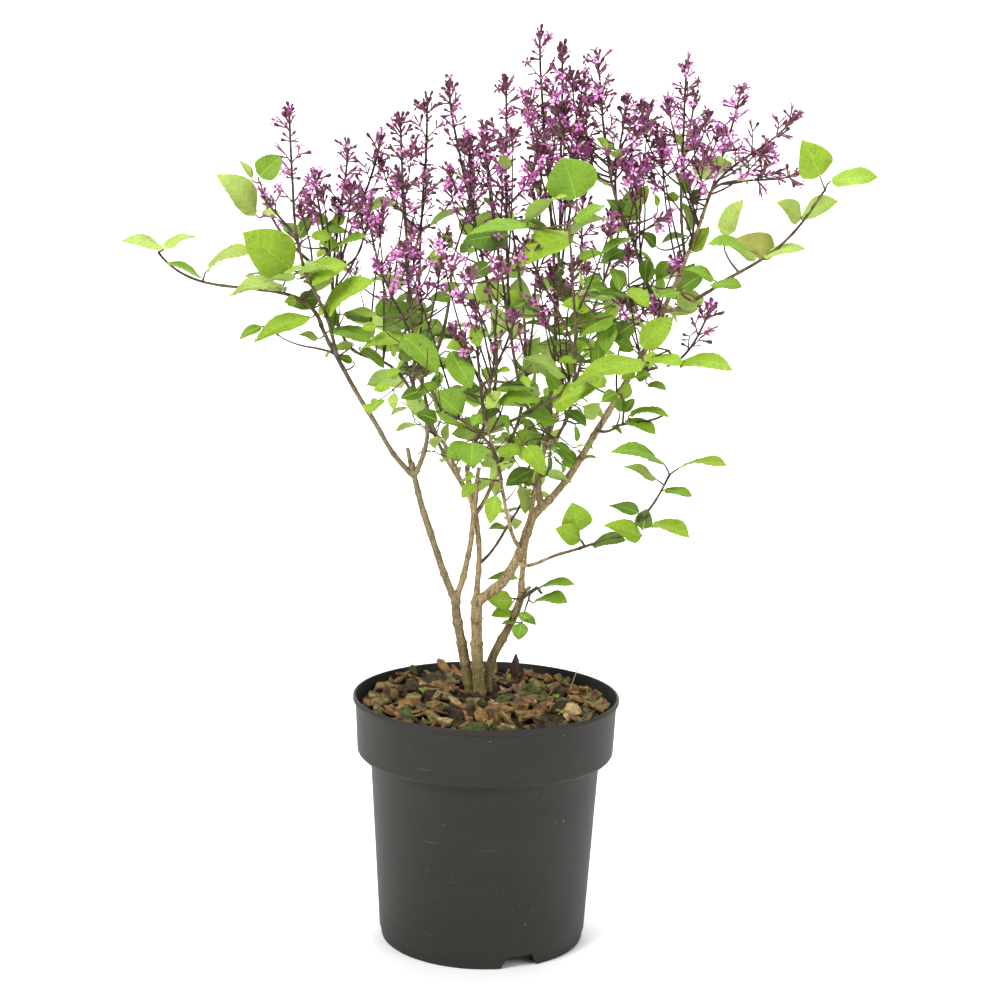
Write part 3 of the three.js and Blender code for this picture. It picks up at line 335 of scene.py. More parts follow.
    ((575, 372, -20), (561, 354, -26), 13, (0.2, -0.8, 0.4), 1),
    ((692, 205, 20), (700, 188, 12), 11, (-0.2, -0.8, 0.4), 2),
]

# Masses whose twigs bear only such leaves.
SPARSE = ("far_left", "far_right", "low_right", "low_spur", "right_cross_spray")

# Masses whose panicles have no smaller ones beside them.
PLAIN_ENDED = ("front_centre", "front_left", "outer_left", "upper_left", "front_right", "right_middle")

# Masses whose panicles are mostly in bud, and how open theirs are beside the others'.
IN_BUD = {"inner_left": 0.55, "centre_left": 0.6, "upper_right": 0.75, "upper_left": 0.8,
          "right_middle": 0.35}

# Short dead stubs left where a shoot was pruned: limb, share of it, way it points, length, radius.
SNAGS = [
    ("left_outer", 1.0, (-0.2, 0.1, 1), 12, 1.9),
    ("left_inner", 0.66, (0.1, -0.3, 1), 38, 1.0),
    ("middle_back", 1.0, (-0.2, -0.2, 1), 11, 1.2),
    ("right_bough", 1.0, (0.1, -0.6, 0.8), 9, 2.2),
    ("stem_right", 1.0, (0.8, -0.2, 0.7), 10, 1.8),
    ("right_long", 0.3, (-0.9, -0.3, 0.5), 6, 1.2),
    ("left_outer", 0.5, (-0.9, -0.3, 0.6), 5, 1.1), ("left_outer", 0.95, (-0.1, -0.1, 1), 6, 3.0),
    ("middle_back", 0.96, (-0.2, -0.3, 1), 6, 2.6), ("right_bough", 0.96, (0.3, -0.5, 0.7), 6, 3.9),
    ("stem_left", 0.98, (0.1, -0.2, 1), 5, 4.3), ("stem_middle", 0.98, (0.1, -0.2, 1), 4, 5.2),
]

# Short twigs that are set one by one: their radius at foot and tip, and the points that steer their curve.
SEEN_TWIGS = [
    ((1.2, 0.55), [(338, 356, -40), (322, 345, -52), (298, 350, -60), (279, 335, -70)]),
    ((1.2, 0.7), [(523, 597, 18), (530, 592, 16), (538, 589, 8)]),
    ((1, 0.6), [(530, 594, 17), (527, 604, 16), (524, 613, 17), (521, 625, 16)]),
    ((1.1, 0.7), [(522, 598, 20), (514, 600, 24), (508, 596, 30)]),
    ((1.5, 0.8), [(312, 264, -52), (284, 239, -40), (267, 220, -38), (261, 183, -50)]),
    ((1.6, 1.1), [(492, 430, -70), (506, 422, -76), (524, 418, -82), (559, 395, -88)]),
    ((2, 1.6), [(519, 601, 20), (523, 596, 18), (527, 594, 16)]),
    ((1.9, 1.1), [(433, 361, 36), (447, 330, 30), (452, 292, 26), (451, 262, 24)]),
]

# Panicles that are set one by one: foot, tip, the share of the way at which the florets begin, and their
# size.
SEEN_PANICLES = [
    ((436, 338, -66), (404, 246, -84), 0.35, 0.7), ((488, 386, -84), (452, 326, -96), 0.4, 0.5),
    ((427, 338, -60), (442, 260, -78), 0.4, 0.65), ((642, 352, -40), (618, 296, -46), 0.35, 0.6),
    ((650, 348, -44), (656, 300, -50), 0.3, 0.55), ((374, 268, -24), (386, 204, -34), 0.4, 0.6),
    ((686, 206, -18), (637, 164, -30), 0.35, 0.6), ((634, 232, -10), (650, 106, -16), 0.35, 0.8),
    ((560, 330, -40), (552, 268, -50), 0.45, 0.55), ((470, 262, -30), (474, 180, -40), 0.4, 0.65),
    ((567, 160, -20), (553, 84, -24), 0.3, 0.9), ((571, 128, 0), (585, 76, 4), 0.3, 0.8),
    ((609, 160, -10), (600, 90, -16), 0.3, 0.8), ((680, 152, 0), (667, 102, -4), 0.25, 0.65),
    ((676, 160, -4), (656, 131, -8), 0.3, 0.5), ((540, 170, -10), (526, 98, -14), 0.3, 0.85),
    ((466, 215, -10), (488, 130, -14), 0.3, 0.8), ((400, 226, -20), (414, 140, -24), 0.4, 0.8),
    ((640, 230, -24), (668, 214, -30), 0.4, 0.5), ((628, 218, -36), (640, 186, -40), 0.3, 0.55),
    ((602, 250, -50), (614, 220, -54), 0.3, 0.5), ((626, 280, -46), (630, 250, -50), 0.3, 0.6),
    ((662, 290, -30), (680, 258, -34), 0.3, 0.55), ((496, 328, -98), (500, 262, -106), 0.35, 0.62),
    ((478, 333, -96), (447, 256, -104), 0.3, 0.65), ((485, 330, -98), (469, 270, -104), 0.3, 0.6),
    ((452, 300, -80), (440, 240, -90), 0.3, 0.6), ((545, 325, -56), (539, 277, -64), 0.3, 0.45),
    ((562, 328, -56), (575, 262, -66), 0.3, 0.5), ((428, 300, -70), (409, 246, -84), 0.35, 0.6),
    ((548, 350, -60), (545, 312, -70), 0.3, 0.5), ((584, 160, -6), (588, 98, -10), 0.25, 0.85),
    ((574, 130, -10), (572, 70, -14), 0.25, 0.8), ((494, 199, -6), (487, 155, -10), 0.3, 0.55),
    ((330, 240, -30), (322, 188, -40), 0.25, 0.85), ((345, 240, -30), (352, 185, -40), 0.25, 0.8),
    ((362, 250, -30), (372, 200, -40), 0.25, 0.75), ((312, 245, -44), (300, 205, -50), 0.25, 0.7),
    ((648, 210, -34), (642, 160, -40), 0.25, 0.75), ((664, 196, -14), (662, 140, -20), 0.25, 0.8),
    ((640, 205, -36), (625, 165, -40), 0.3, 0.6), ((698, 200, -14), (705, 150, -20), 0.25, 0.75),
    ((552, 200, -20), (548, 150, -24), 0.25, 0.8), ((514, 190, -20), (512, 130, -24), 0.25, 0.8),
    ((341, 233, -4), (334, 199, -10), 0.25, 0.7), ((323, 236, -10), (307, 190, -14), 0.3, 0.7),
    ((668, 196, -10), (661, 150, -14), 0.25, 0.7), ((586, 152, 0), (581, 100, -4), 0.25, 0.8),
    ((564, 152, -6), (565, 106, -10), 0.25, 0.75), ((616, 324, -20), (655, 304, -26), 0.25, 0.5),
    ((457, 226, -20), (450, 182, -24), 0.25, 0.75), ((385, 262, -30), (378, 222, -36), 0.25, 0.65),
    ((366, 250, -20), (362, 214, -26), 0.25, 0.6), ((697, 216, -10), (689, 176, -14), 0.3, 0.6),
]

# Limbs that bear short leafy shoots of their own, and the share of the limb from which they do.
LEAFY_LIMBS = {
    "left_mid": 0.7, "left_mid_up": 0, "left_inner_in": 0.5, "left_inner_out": 0.7, "middle_back_up": 0.2,
    "middle_back_out": 0.4, "right_upright": 0.45, "upright_front": 0.3, "upright_in": 0.1,
    "right_back": 0.75, "dark_twig": 0.6, "front_twig": 0.55, "front_side": 0.5, "right_side": 0.4,
}

# Where flowers and gaps leave room for few leaves: x from and to, how far back, z from and to, share kept.
OPEN_SPACES = [
    ((-135, -45), 60, (560, 655), 0.3), ((-45, 90), 60, (600, 655), 0.5),
    ((-115, -45), 200, (540, 620), 0.15), ((-62, 35), 60, (500, 560), 0.25),
    ((-30, 25), 200, (535, 580), 0.25), ((5, 100), 200, (510, 600), 0.2), ((125, 200), 60, (565, 655), 0.6),
    ((-150, -120), 60, (520, 600), 0.4), ((-182, -145), 60, (600, 655), 0.1),
    ((-110, -40), 200, (380, 470), 0.4), ((-20, 20), 200, (475, 515), 0.2),
    ((-113, -80), 200, (475, 545), 0.5), ((-50, -13), 200, (368, 405), 0.4),
    ((-120, -70), 200, (505, 575), 0.5), ((-40, 0), 200, (470, 545), 0.6),
    ((-160, -100), 200, (520, 575), 0), ((-15, 22), 200, (515, 550), 0.15),
    ((15, 60), 200, (480, 512), 0.45), ((-60, -25), 200, (590, 610), 0),
]

# ---------------------------------------------------------------- growing


def between(limits, share):
    low, high = limits
    return low + (high - low) * share


def unit(vector):
    return vector / np.linalg.norm(vector)


def turned(x, y, angle):
    return x * math.cos(angle) - y * math.sin(angle), x * math.sin(angle) + y * math.cos(angle)


def look(across, down, depth):
    """The point so far behind the middle of the pot that lies under a place in the camera's view."""
    right, rise = turned(across - VIEW / 2, VIEW / 2 - down, LEAN)
    forth, up = turned(REACH, rise, -LOOK_DOWN)
    return EYE + np.array((right, forth, up)) * (depth - EYE[1]) / forth


def whole(point):
    return tuple(int(round(part)) for part in point)


def facing(root, tip, share, side):
    """The way a leaf faces that shows a share of its width, on its upper side (1) or its under side (-1)."""
    along, sight = unit(tip - root), unit(EYE - (root + tip) / 2)
    sight = unit(sight - along * sight.dot(along))
    edge = np.cross(along, sight)
    face = side * share * sight + math.sqrt(1 - share ** 2) * math.copysign(1, edge[2]) * edge
    return tuple(round(round(float(part), 2), 1) for part in unit(face))


def seen_leaf(root, tip, width, face, green):
    """Root, tip, width, facing and green of a leaf that is given in the camera's view, in millimetres."""
    depth = root[2]
    root, tip = look(*root), look(*tip)
    if isinstance(face, tuple):
        width = FORESHORTENED * width * (depth - EYE[1]) / REACH
    else:
        seen = width * np.linalg.norm(EYE - (root + tip) / 2) / REACH
        width = max(seen / MOST_SEEN, NARROWEST * math.dist(root, tip))
        face = facing(root, tip, seen / width, face)
    return whole(root), whole(tip), round(width), face, green


HAND_LEAVES = [seen_leaf(*row) for row in SEEN_LEAVES]
HAND_TWIGS = [(radii, [whole(look(*knot)) for knot in knots]) for radii, knots in SEEN_TWIGS]
HAND_PANICLES = [(whole(look(*foot)), whole(look(*tip)), *form) for foot, tip, *form in SEEN_PANICLES]


class Run:
    """The same run of numbers from 0 to 1 for the same seed."""

    def __init__(self, seed):
        self.state = seed * 7919 + 17
        self()
        self()

    def __call__(self):
        self.state = (self.state * 1664525 + 1013904223) % 4294967296
        return self.state / 4294967296

    def pick(self, low, high):
        return low + (high - low) * self()


class Path:
    """A Bézier curve that is read by shares of its length."""

    STEPS = 200

    def __init__(self, *controls):
        self.controls = [np.asarray(control, float) for control in controls]
        points = self.spot(np.linspace(0, 1, self.STEPS + 1))
        runs = np.concatenate([[0], np.cumsum(np.linalg.norm(np.diff(points, axis=0), axis=1))])
        self.length = runs[-1]
        self.shares = runs / runs[-1]

    def spot(self, t):
        order = len(self.controls) - 1
        t = np.asarray(t, float)[..., None]
        return sum(
            math.comb(order, n) * (1 - t) ** (order - n) * t ** n * control
            for n, control in enumerate(self.controls)
        )

    def at(self, share):
        return self.spot(np.interp(share, self.shares, np.linspace(0, 1, self.STEPS + 1)))

    def along(self, share):
        step = 0.002
        low = np.clip(np.asarray(share) - step, 0, 1 - 2 * step)
        way = self.at(low + 2 * step) - self.at(low)
        return way / np.linalg.norm(way, axis=-1, keepdims=True)


def pair_directions(tangent, turn):
    """The two directions across a twig that a pair of leaves or branchlets leaves it by."""
    side = unit(np.cross(tangent, BACK if abs(tangent[2]) > 0.95 else UP))
    side = side * math.cos(turn) + np.cross(tangent, side) * math.sin(turn)
    return side, -side


Limb = namedtuple("Limb", "path radii ages line")
Leader = namedtuple("Leader", "path blossom bloom_from nodes radii ages run first seed line mass")
Leaf = namedtuple("Leaf", "root along face size share node leader mass")
Panicle = namedtuple("Panicle", "path start scale seed opened")


def bent_line(path, name, moved=(0, 0, 0)):
    """The line drawn for a path: bent by its own offsets, and carried along where its foot is moved."""
    knots = [(0, 0)] + BENDS.get(name, [(0, 0)] * 4)
    right, up = (np.polyfit((0, 0.25, 0.5, 0.75, 1), [knot[n] for knot in knots], 4) for n in (0, 1))

    def line(share):
        share = np.asarray(share, float)
        off = np.stack([np.polyval(right, share), 0 * share, np.polyval(up, share)], axis=-1)
        return path.at(share) + off + (1 - share[..., None]) ** 2 * np.asarray(moved)

    return line


def grow_limbs():
    limbs = {}
    for name, (parent, share, tip, bow, radii, ages) in LIMBS.items():
        foot = limbs[parent].path.at(share) if parent else np.array([*share, SOIL_LINE])
        moved = limbs[parent].line(share) - foot if parent else (0, 0, 0)
        path = Path(foot, (foot + tip) / 2 + 2 * np.array(bow), tip)
        limbs[name] = Limb(path, radii, ages.split(), bent_line(path, name, moved))
    return limbs


def grow_leaders(limb, seed, tips, mass):
    """The first leader grows straight on from the limb; the others fork from its first nodes."""
    leaders = []
    for n, (*tip, blossom) in enumerate(tips):
        main = leaders[0] if leaders else None
        if main:
            fork = min(n, main.nodes - 1) * main.bloom_from / main.nodes
            heading, start, foot = main.path.along(fork), main.path.at(fork), 1.15
            moved, name = main.line(fork) - start, ""
        else:
            moved, name = (0, 0, 0), mass
            heading = limb.path.along(1)
            start, foot = limb.path.at(1) + GAP * heading, limb.radii[1] + 0.1
        reach = np.linalg.norm(tip - start)
        arrival = unit(unit(tip - start) + TWIG["uplift"] * UP)
        path = Path(start, start + TWIG["bend"] * reach * heading, tip - TWIG["bend"] * reach * arrival, tip)
        bloom_from = max(1 - PANICLE["most_of_leader"], 1 - blossom / path.length)
        nodes = max(2, round(path.length * bloom_from / TWIG["node_spacing"]))
        ages = (limb.ages[1] if main is None else "young", "young")
        radii = (1.1 * foot, 1.1 if blossom else 0.95)
        leaders.append(Leader(
            path, blossom, bloom_from, nodes, radii, ages, Run(seed + n), main is None, seed + n,
            bent_line(path, name, moved), mass,
        ))
    return leaders


def skip_spikes(blossom, run):
    """Passes the numbers that the solid's flower clusters take, so that the leaves get the same ones."""
    for _ in range(2 * max(2, round(blossom / PANICLE["stretch"])) if blossom else 0):
        run()


def grow_panicles(leader):
    """The panicle at a leader's end, and smaller ones on stalks of their own just below it."""
    skip_spikes(leader.blossom, leader.run)
    if not leader.blossom:
        return []
    opened = IN_BUD.get(leader.mass, 1)
    panicles = [Panicle(leader.path, leader.bloom_from, 1.0, leader.seed + 300, opened)]
    share = leader.bloom_from * max(1, leader.nodes - 1) / leader.nodes
    tangent, foot = leader.path.along(share), leader.path.at(share)
    sides = pair_directions(tangent, leader.run() * math.pi)
    for n, side in enumerate([] if leader.mass in PLAIN_ENDED else sides[:2 if leader.first else 1]):
        bloom = leader.blossom * SIDE_PANICLE["length"] * between(SIDE_PANICLE["vary"], leader.run())
        reach = bloom + SIDE_PANICLE["stalk"]
        bend = foot + reach * (SIDE_PANICLE["bend_out"] * side + SIDE_PANICLE["bend_up"] * tangent)
        tip = foot + reach * (SIDE_PANICLE["out"] * side + SIDE_PANICLE["up"] * tangent)
        skip_spikes(bloom, leader.run)
        start = SIDE_PANICLE["stalk"] / reach
        panicles.append(Panicle(Path(foot, bend, tip), start, 0.65, leader.seed + 400 + 50 * n, opened))
    return panicles


def grow_leaves(leader, leafy, leaf_scale, mass):
    """Leaf pairs at the nodes, each turned a quarter from the last, with their faces to the light."""
    leaves = []
    last = leafy[1] if leader.blossom else 1
    for node in range(1, leader.nodes + 1):
        share = min(TWIG["last_node"], node / leader.nodes * leader.bloom_from)
        root, tangent = leader.path.at(share), leader.path.along(share)
        size = LEAF["length"] * leaf_scale * between(LEAF["vary"], leader.run())
        light = UP + LEAF["outward"] * unit(root * (1, 1, 0))
        turn = (leader.nodes - node + 1) * QUARTER_TURN + between(LEAF["wander"], leader.run())
        for side in pair_directions(tangent, turn):
            along = unit(side + tangent * between(LEAF["lift"], share))
            along[2] = along[2] * LEAF["flatten"] + between(LEAF["rise"], leader.run())
            along = unit(along)
            face = unit(light - along * light.dot(along))
            twist = between(LEAF["twist"], leader.run())
            face = face * math.cos(twist) + np.cross(along, face) * math.sin(twist)
            bare = leader.blossom and root[2] > LEAVES_BELOW
            if leafy[0] <= share <= last and not bare:
                leaves.append(Leaf(root, along, face, size, share, node, leader, mass))
    return leaves


def grow_shoots(leader, leafy, leaf_scale, bushy, mass):
    """Short leafy shoots in the joints of the leaves, with smaller leaves, and a pair below each panicle."""
    run = Run(leader.seed + 600)
    twigs, leaves = [], []
    last = leafy[1] if leader.blossom else 0.97
    for node in range(0, leader.nodes + 1):
        share = min(TWIG["last_node"], node / leader.nodes * leader.bloom_from)
        tangent = leader.path.along(share)
        for side in pair_directions(tangent, node * QUARTER_TURN + run.pick(0, 0.8)):
            length = run.pick(12, 34)
            way = unit(side + run.pick(0.5, 1.1) * tangent + run.pick(-0.1, 0.25) * UP)
            wanted = run() < bushy
            root = leader.path.at(share)
            if not wanted or root[2] > SHOOTS_BELOW or not leafy[0] - 0.1 <= share <= last:
                continue
            tip = root + way * length + UP * length * 0.15
            path = Path(root, root + way * length * 0.6, tip)
            twigs.append((path, (0.7, 0.45)))
            for joint, leaf_size in ((0.55, 0.52), (1.0, 0.62)):
                turn = run.pick(0, math.pi)
                for leaf_side in pair_directions(path.along(joint), turn):
                    size = LEAF["length"] * leaf_scale * leaf_size * run.pick(0.7, 1.15)
                    along = unit(
                        leaf_side + path.along(joint) * run.pick(0.4, 1.0) - UP * run.pick(-0.1, 0.4))
                    light = UP + LEAF["outward"] * unit(root * (1, 1, 0))
                    face = unit(light - along * light.dot(along))
                    leaves.append(Leaf(path.at(joint), along, face, size, share, node, leader, mass))
    if leader.blossom:
        tangent = leader.path.along(leader.bloom_from)
        for side in pair_directions(tangent, run.pick(0, math.pi)):
            along = unit(side * 0.7 + tangent)
            face = unit(UP + side * 0.2 - along * along[2])
            size = LEAF["length"] * run.pick(0.28, 0.5)
            leaves.append(Leaf(
                leader.path.at(leader.bloom_from), along, face, size, 1.0, leader.nodes, leader, mass))
    return twigs, leaves


def grow_limb_shoots(limbs):
    """Short leafy shoots straight from the younger limbs."""
    twigs, leaves = [], []
    for number, (name, first) in enumerate(LEAFY_LIMBS.items()):
        path = limbs[name].path
        run = Run(7000 + number)
        for share in np.arange(first, 1, 21 / path.length):
            root = limbs[name].line(share + run.pick(0, 0.04) * (1 - share))
            side = pair_directions(path.along(share), run.pick(0, math.pi))[0]
            way = unit(side + run.pick(0.2, 0.8) * path.along(share) + run.pick(0, 0.3) * UP)
            twig = Path(
                root, root + way * run.pick(6, 12), root + way * run.pick(10, 24) + UP * run.pick(0, 6))
            twigs.append((twig, (0.75, 0.45)))
            for joint in (0.6, 1.0):
                for leaf_side in pair_directions(twig.along(joint), run.pick(0, math.pi)):
                    along = unit(
                        leaf_side + twig.along(joint) * run.pick(0.5, 1.1) - UP * run.pick(-0.1, 0.4))
                    light = UP + LEAF["outward"] * unit(root * (1, 1, 0))
                    face = unit(light - along * light.dot(along))
                    size = LEAF["length"] * run.pick(0.4, 0.72)
                    leaves.append(Leaf(twig.at(joint), along, face, size, 0.5, 0, None, name))
    return twigs, leaves


def is_in_the_open(number, leaf):
    """Whether a leaf would stand in one of the spaces that are kept open, by chance."""
    x, y, z = leaf.root
    chance = Run(9000 + number)()
    return any(
        low < x < high and y < depth and foot < z < top and chance > kept
        for (low, high), depth, (foot, top), kept in OPEN_SPACES
    )


def find_ends(plant):
    """Sets the share of each leader that is drawn: all of a flowering one, another up to its last leaf."""
    ends = {leader.seed: 1 if leader.blossom else 0.3 for leader in plant["leaders"]}
    for leaf in plant["leaves"]:
        if leaf.leader:
            ends[leaf.leader.seed] = max(ends[leaf.leader.seed], min(1, leaf.share + 0.01))
    for leader in plant["leaders"]:
        if leader.mass in SPARSE:
            ends[leader.seed] = 1 if leader.first else 0
    return ends


def find_wood(plant):
    """Points along all the wood that is drawn, for leaves and panicles to grow from."""
    lines = [limb.line(np.linspace(0.1, 1, 40)) for limb in plant["limbs"].values()]
    lines += [
        leader.line(np.linspace(0, 1 - 0.6 * bool(leader.blossom), 40) * plant["ends"][leader.seed])
        for leader in plant["leaders"] if plant["ends"][leader.seed]
    ]
    lines += [Path(*knots).at(np.linspace(0, 1, 20)) for _, knots in HAND_TWIGS]
    return np.concatenate(lines)


def nearest(wood, spot, stretch=(1, 1, 1)):
    return wood[np.argmin(np.linalg.norm((wood - spot) * stretch, axis=1))]


def set_panicle(wood, number, foot, tip, start, scale):
    """A panicle from the list, set on a stalk that comes up from the nearest wood below its foot."""
    foot, tip = np.array(foot, float), np.array(tip, float)
    lower = wood[wood[:, 2] < foot[2] - 10]
    root = nearest(lower, foot - 0.5 * (tip - foot) - UP * 12, (1, 1, 0.5))
    lean = (tip - foot) * (1, 1, 0) * 0.15
    rise = (root + foot) / 2 + (foot - root) * (1, 1, 0) * 0.15
    path = Path(root, rise, foot, (foot + tip) / 2 + lean, tip)
    start = 1 - (1 - start) * np.linalg.norm(tip - foot) / path.length
    return Panicle(path, start, scale, 1200 + number, 1 if scale > 0.55 else 0.5)


def grow_plant():
    """Everything that grows: limbs, and for each mass its leaders, side twigs, panicles and leaves."""
    limbs = grow_limbs()
    plant = {"limbs": limbs, "leaders": [], "twigs": [], "panicles": [], "leaves": []}
    for mass, (on, seed, leafy, leaf_scale, bushy, tips) in MASSES.items():
        for leader in grow_leaders(limbs[on], seed, [np.array(tip, float) for tip in tips], mass):
            plant["leaders"].append(leader)
            plant["panicles"] += grow_panicles(leader)
            leaves = grow_leaves(leader, leafy, leaf_scale, mass)
            twigs, more = grow_shoots(leader, leafy, leaf_scale, bushy, mass)
            if mass not in SPARSE:
                plant["twigs"] += twigs
                plant["leaves"] += leaves + more
    twigs, leaves = grow_limb_shoots(limbs)
    plant["twigs"] += twigs
    plant["leaves"] = [
        leaf for number, leaf in enumerate(plant["leaves"] + leaves)
        if not is_taken(leaf) and not is_in_the_open(number, leaf)
    ]
    plant["ends"] = find_ends(plant)
    plant["wood"] = find_wood(plant)
    plant["panicles"] += [
        set_panicle(plant["wood"], number, *row) for number, row in enumerate(HAND_PANICLES)
    ]
    return plant


def is_taken(leaf):
    """Whether one of the leaves that are set one by one stands where this leaf would."""
    middle = leaf.root + leaf.along * leaf.size / 2
    return any(
        middle[1] < 10 and math.hypot(middle[0] - (root[0] + tip[0]) / 2, middle[2] - (root[2] + tip[2]) / 2)
        < 0.3 * math.dist(root, tip) + 0.25 * leaf.size
        for root, tip, *_ in HAND_LEAVES
    )


# ---------------------------------------------------------------- meshes of many small pieces


class Heap:
    """Vertices and faces of many small pieces, in millimetres, gathered into one mesh."""

    def __init__(self):
        self.vertices, self.faces, self.finishes, self.marks, self.count = [], [], [], [], 0

    def add(self, vertices, faces, finishes, marks=0.0, caps=()):
        """faces are rows of corner numbers, caps are more faces with another number of corners, finishes one
        number for all of them or one for each, and marks one for each corner: how many veins up its leaf it
        lies."""
        self.vertices.append(np.asarray(vertices, float).reshape(-1, 3))
        self.marks.append(np.broadcast_to(marks, len(self.vertices[-1])))
        rows = (np.asarray(faces) + self.count).tolist()
        rows += [[corner + self.count for corner in cap] for cap in caps]
        self.faces += rows
        self.finishes += [finishes] * len(rows) if isinstance(finishes, int) else list(finishes)
        self.count += len(self.vertices[-1])

    def add_copies(self, shape, places, turns, sizes):
        """Copies of a shape (vertices, faces, finishes) at many places, each turned and sized."""
        vertices, faces, finishes = shape
        spots = np.einsum("nij,vj->nvi", turns, vertices) * sizes[:, None, None] + places[:, None, :]
        for spot in spots:
            self.add(spot, faces, finishes)

    def make(self, name, materials, slot, replaced=(), smooth=True):
        mesh = bpy.data.meshes.new(name)
        mesh.from_pydata((np.concatenate(self.vertices) * MM).tolist(), [], self.faces)
        mesh.polygons.foreach_set("material_index", self.finishes)
        mesh.polygons.foreach_set("use_smooth", [smooth] * len(self.faces))
        for material in materials:
            mesh.materials.append(material)
        marks = np.concatenate(self.marks)
        if marks.any():
            mesh.attributes.new("veins", "FLOAT", "POINT").data.foreach_set("value", marks)
        mesh.update()
        piece = bpy.data.objects.new(name, mesh)
        bpy.context.collection.objects.link(piece)
        return settle(piece, replaced)


def settle(piece, replaced=()):
    """Fixes a finished piece to the plant's body and hides the solids that it stands for."""
    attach(piece, BODY)
    if replaced:
        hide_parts(*replaced)
    return piece


def carried_frames(points):
    """Directions along, across and square to a row of points, carried on along it without a twist."""
    along = np.gradient(points, axis=0)
    along /= np.linalg.norm(along, axis=1, keepdims=True)
    across = np.empty_like(points)
    start = np.cross(along[0], BACK if abs(along[0][2]) > 0.9 else UP)
    across[0] = unit(start)
    for n in range(1, len(points)):
        step = across[n - 1] - along[n] * across[n - 1].dot(along[n])
        across[n] = unit(step)
    return along, across, np.cross(along, across)


def tube(points, radii, sides, relief=None):
    """A closed tube round a row of points. relief gives each of its ring points' share of the radius."""
    _, across, square = carried_frames(points)
    angles = np.arange(sides) / sides * 2 * math.pi
    ring = np.cos(angles)[None, :, None] * across[:, None] + np.sin(angles)[None, :, None] * square[:, None]
    reach = np.asarray(radii)[:, None] * (1 if relief is None else relief)
    reach = np.broadcast_to(reach, (len(points), sides))[..., None]
    vertices = (points[:, None] + ring * reach).reshape(-1, 3)
    rings = np.arange(len(points) - 1)[:, None] * sides
    here, there = np.arange(sides), (np.arange(sides) + 1) % sides
    faces = np.stack([rings + here, rings + there, rings + sides + there, rings + sides + here], axis=-1)
    ends = [points[0], points[-1]]
    count = len(vertices)
    last = (len(points) - 1) * sides
    caps = [[count, there[n], here[n]] for n in range(sides)]
    caps += [[count + 1, last + here[n], last + there[n]] for n in range(sides)]
    return np.concatenate([vertices, ends]), faces.reshape(-1, 4), caps


def add_tube(heap, points, radii, sides, finish, relief=None):
    vertices, walls, caps = tube(points, radii, sides, relief)
    finishes = [finish] * len(walls) if isinstance(finish, int) else list(finish)
    heap.add(vertices, walls, finishes + [finishes[0]] * sides + [finishes[-1]] * sides, caps=caps)


# ---------------------------------------------------------------- finishes


FINISHES = {}


def finish_nodes(name):
    material = bpy.data.materials.new(name)
    FINISHES[name] = material
    material.use_nodes = True
    nodes = material.node_tree.nodes
    return material, nodes, material.node_tree.links, nodes["Principled BSDF"]


def noise_node(nodes, links, scale, stretch=(1, 1, 1), detail=4, roughness=0.55):
    """Noise that is fixed to the piece, stretched along its axes."""
    place = nodes.new("ShaderNodeTexCoord")
    mapping = nodes.new("ShaderNodeMapping")
    mapping.inputs["Scale"].default_value = stretch
    texture = nodes.new("ShaderNodeTexNoise")
    texture.inputs["Scale"].default_value = scale
    texture.inputs["Detail"].default_value = detail
    texture.inputs["Roughness"].default_value = roughness
    links.new(place.outputs["Object"], mapping.inputs["Vector"])
    links.new(mapping.outputs["Vector"], texture.inputs["Vector"])
    return texture


def blend_colours(nodes, links, factor, first, second, low=0.35, high=0.65):
    """A colour that goes from first to second as factor goes from low to high."""
    ramp = nodes.new("ShaderNodeMapRange")
    ramp.inputs["From Min"].default_value = low
    ramp.inputs["From Max"].default_value = high
    links.new(factor, ramp.inputs["Value"])
    mix = nodes.new("ShaderNodeMix")
    mix.data_type = "RGBA"
    links.new(ramp.outputs["Result"], mix.inputs["Factor"])
    for socket, colour in ((mix.inputs["A"], first), (mix.inputs["B"], second)):
        if isinstance(colour, bpy.types.NodeSocket):
            links.new(colour, socket)
        else:
            socket.default_value = (*colour, 1)
    return next(output for output in mix.outputs if output.type == "RGBA")


def stain_and_painted_shade(nodes, links, base, factor, colour, low, high, share):
    """The base with a share of a colour laid over it where factor is below low, fading out towards high. It
    lays both the green tinge at the bark's foot and the painted shade on the bark left of the middle.
    """
    mix = nodes.new("ShaderNodeMix")
    mix.data_type = "RGBA"
    mix.inputs["Factor"].default_value = share
    links.new(base, mix.inputs["A"])
    links.new(blend_colours(nodes, links, factor, colour, base, low, high), mix.inputs["B"])
    return next(output for output in mix.outputs if output.type == "RGBA")


def add_bump(nodes, links, shader, height, strength, distance):
    bump = nodes.new("ShaderNodeBump")
    bump.inputs["Strength"].default_value = strength
    bump.inputs["Distance"].default_value = distance
    links.new(height, bump.inputs["Height"])
    links.new(bump.outputs["Normal"], shader.inputs["Normal"])


def mottled(name, colour, second, scale, roughness, stretch=(1, 1, 1), bump=0.3, depth=0.0003,
            fine=4, gloss=0.5):
    """A finish of two mottled tones with a fine relief."""
    material, nodes, links, shader = finish_nodes(name)
    patches = noise_node(nodes, links, scale, stretch)
    base = blend_colours(nodes, links, patches.outputs["Fac"], colour, second)
    links.new(base, shader.inputs["Base Color"])
    grain = noise_node(nodes, links, scale * fine, stretch)
    add_bump(nodes, links, shader, grain.outputs["Fac"], bump, depth)
    shader.inputs["Roughness"].default_value = roughness
    shader.inputs["Specular IOR Level"].default_value = gloss
    return material


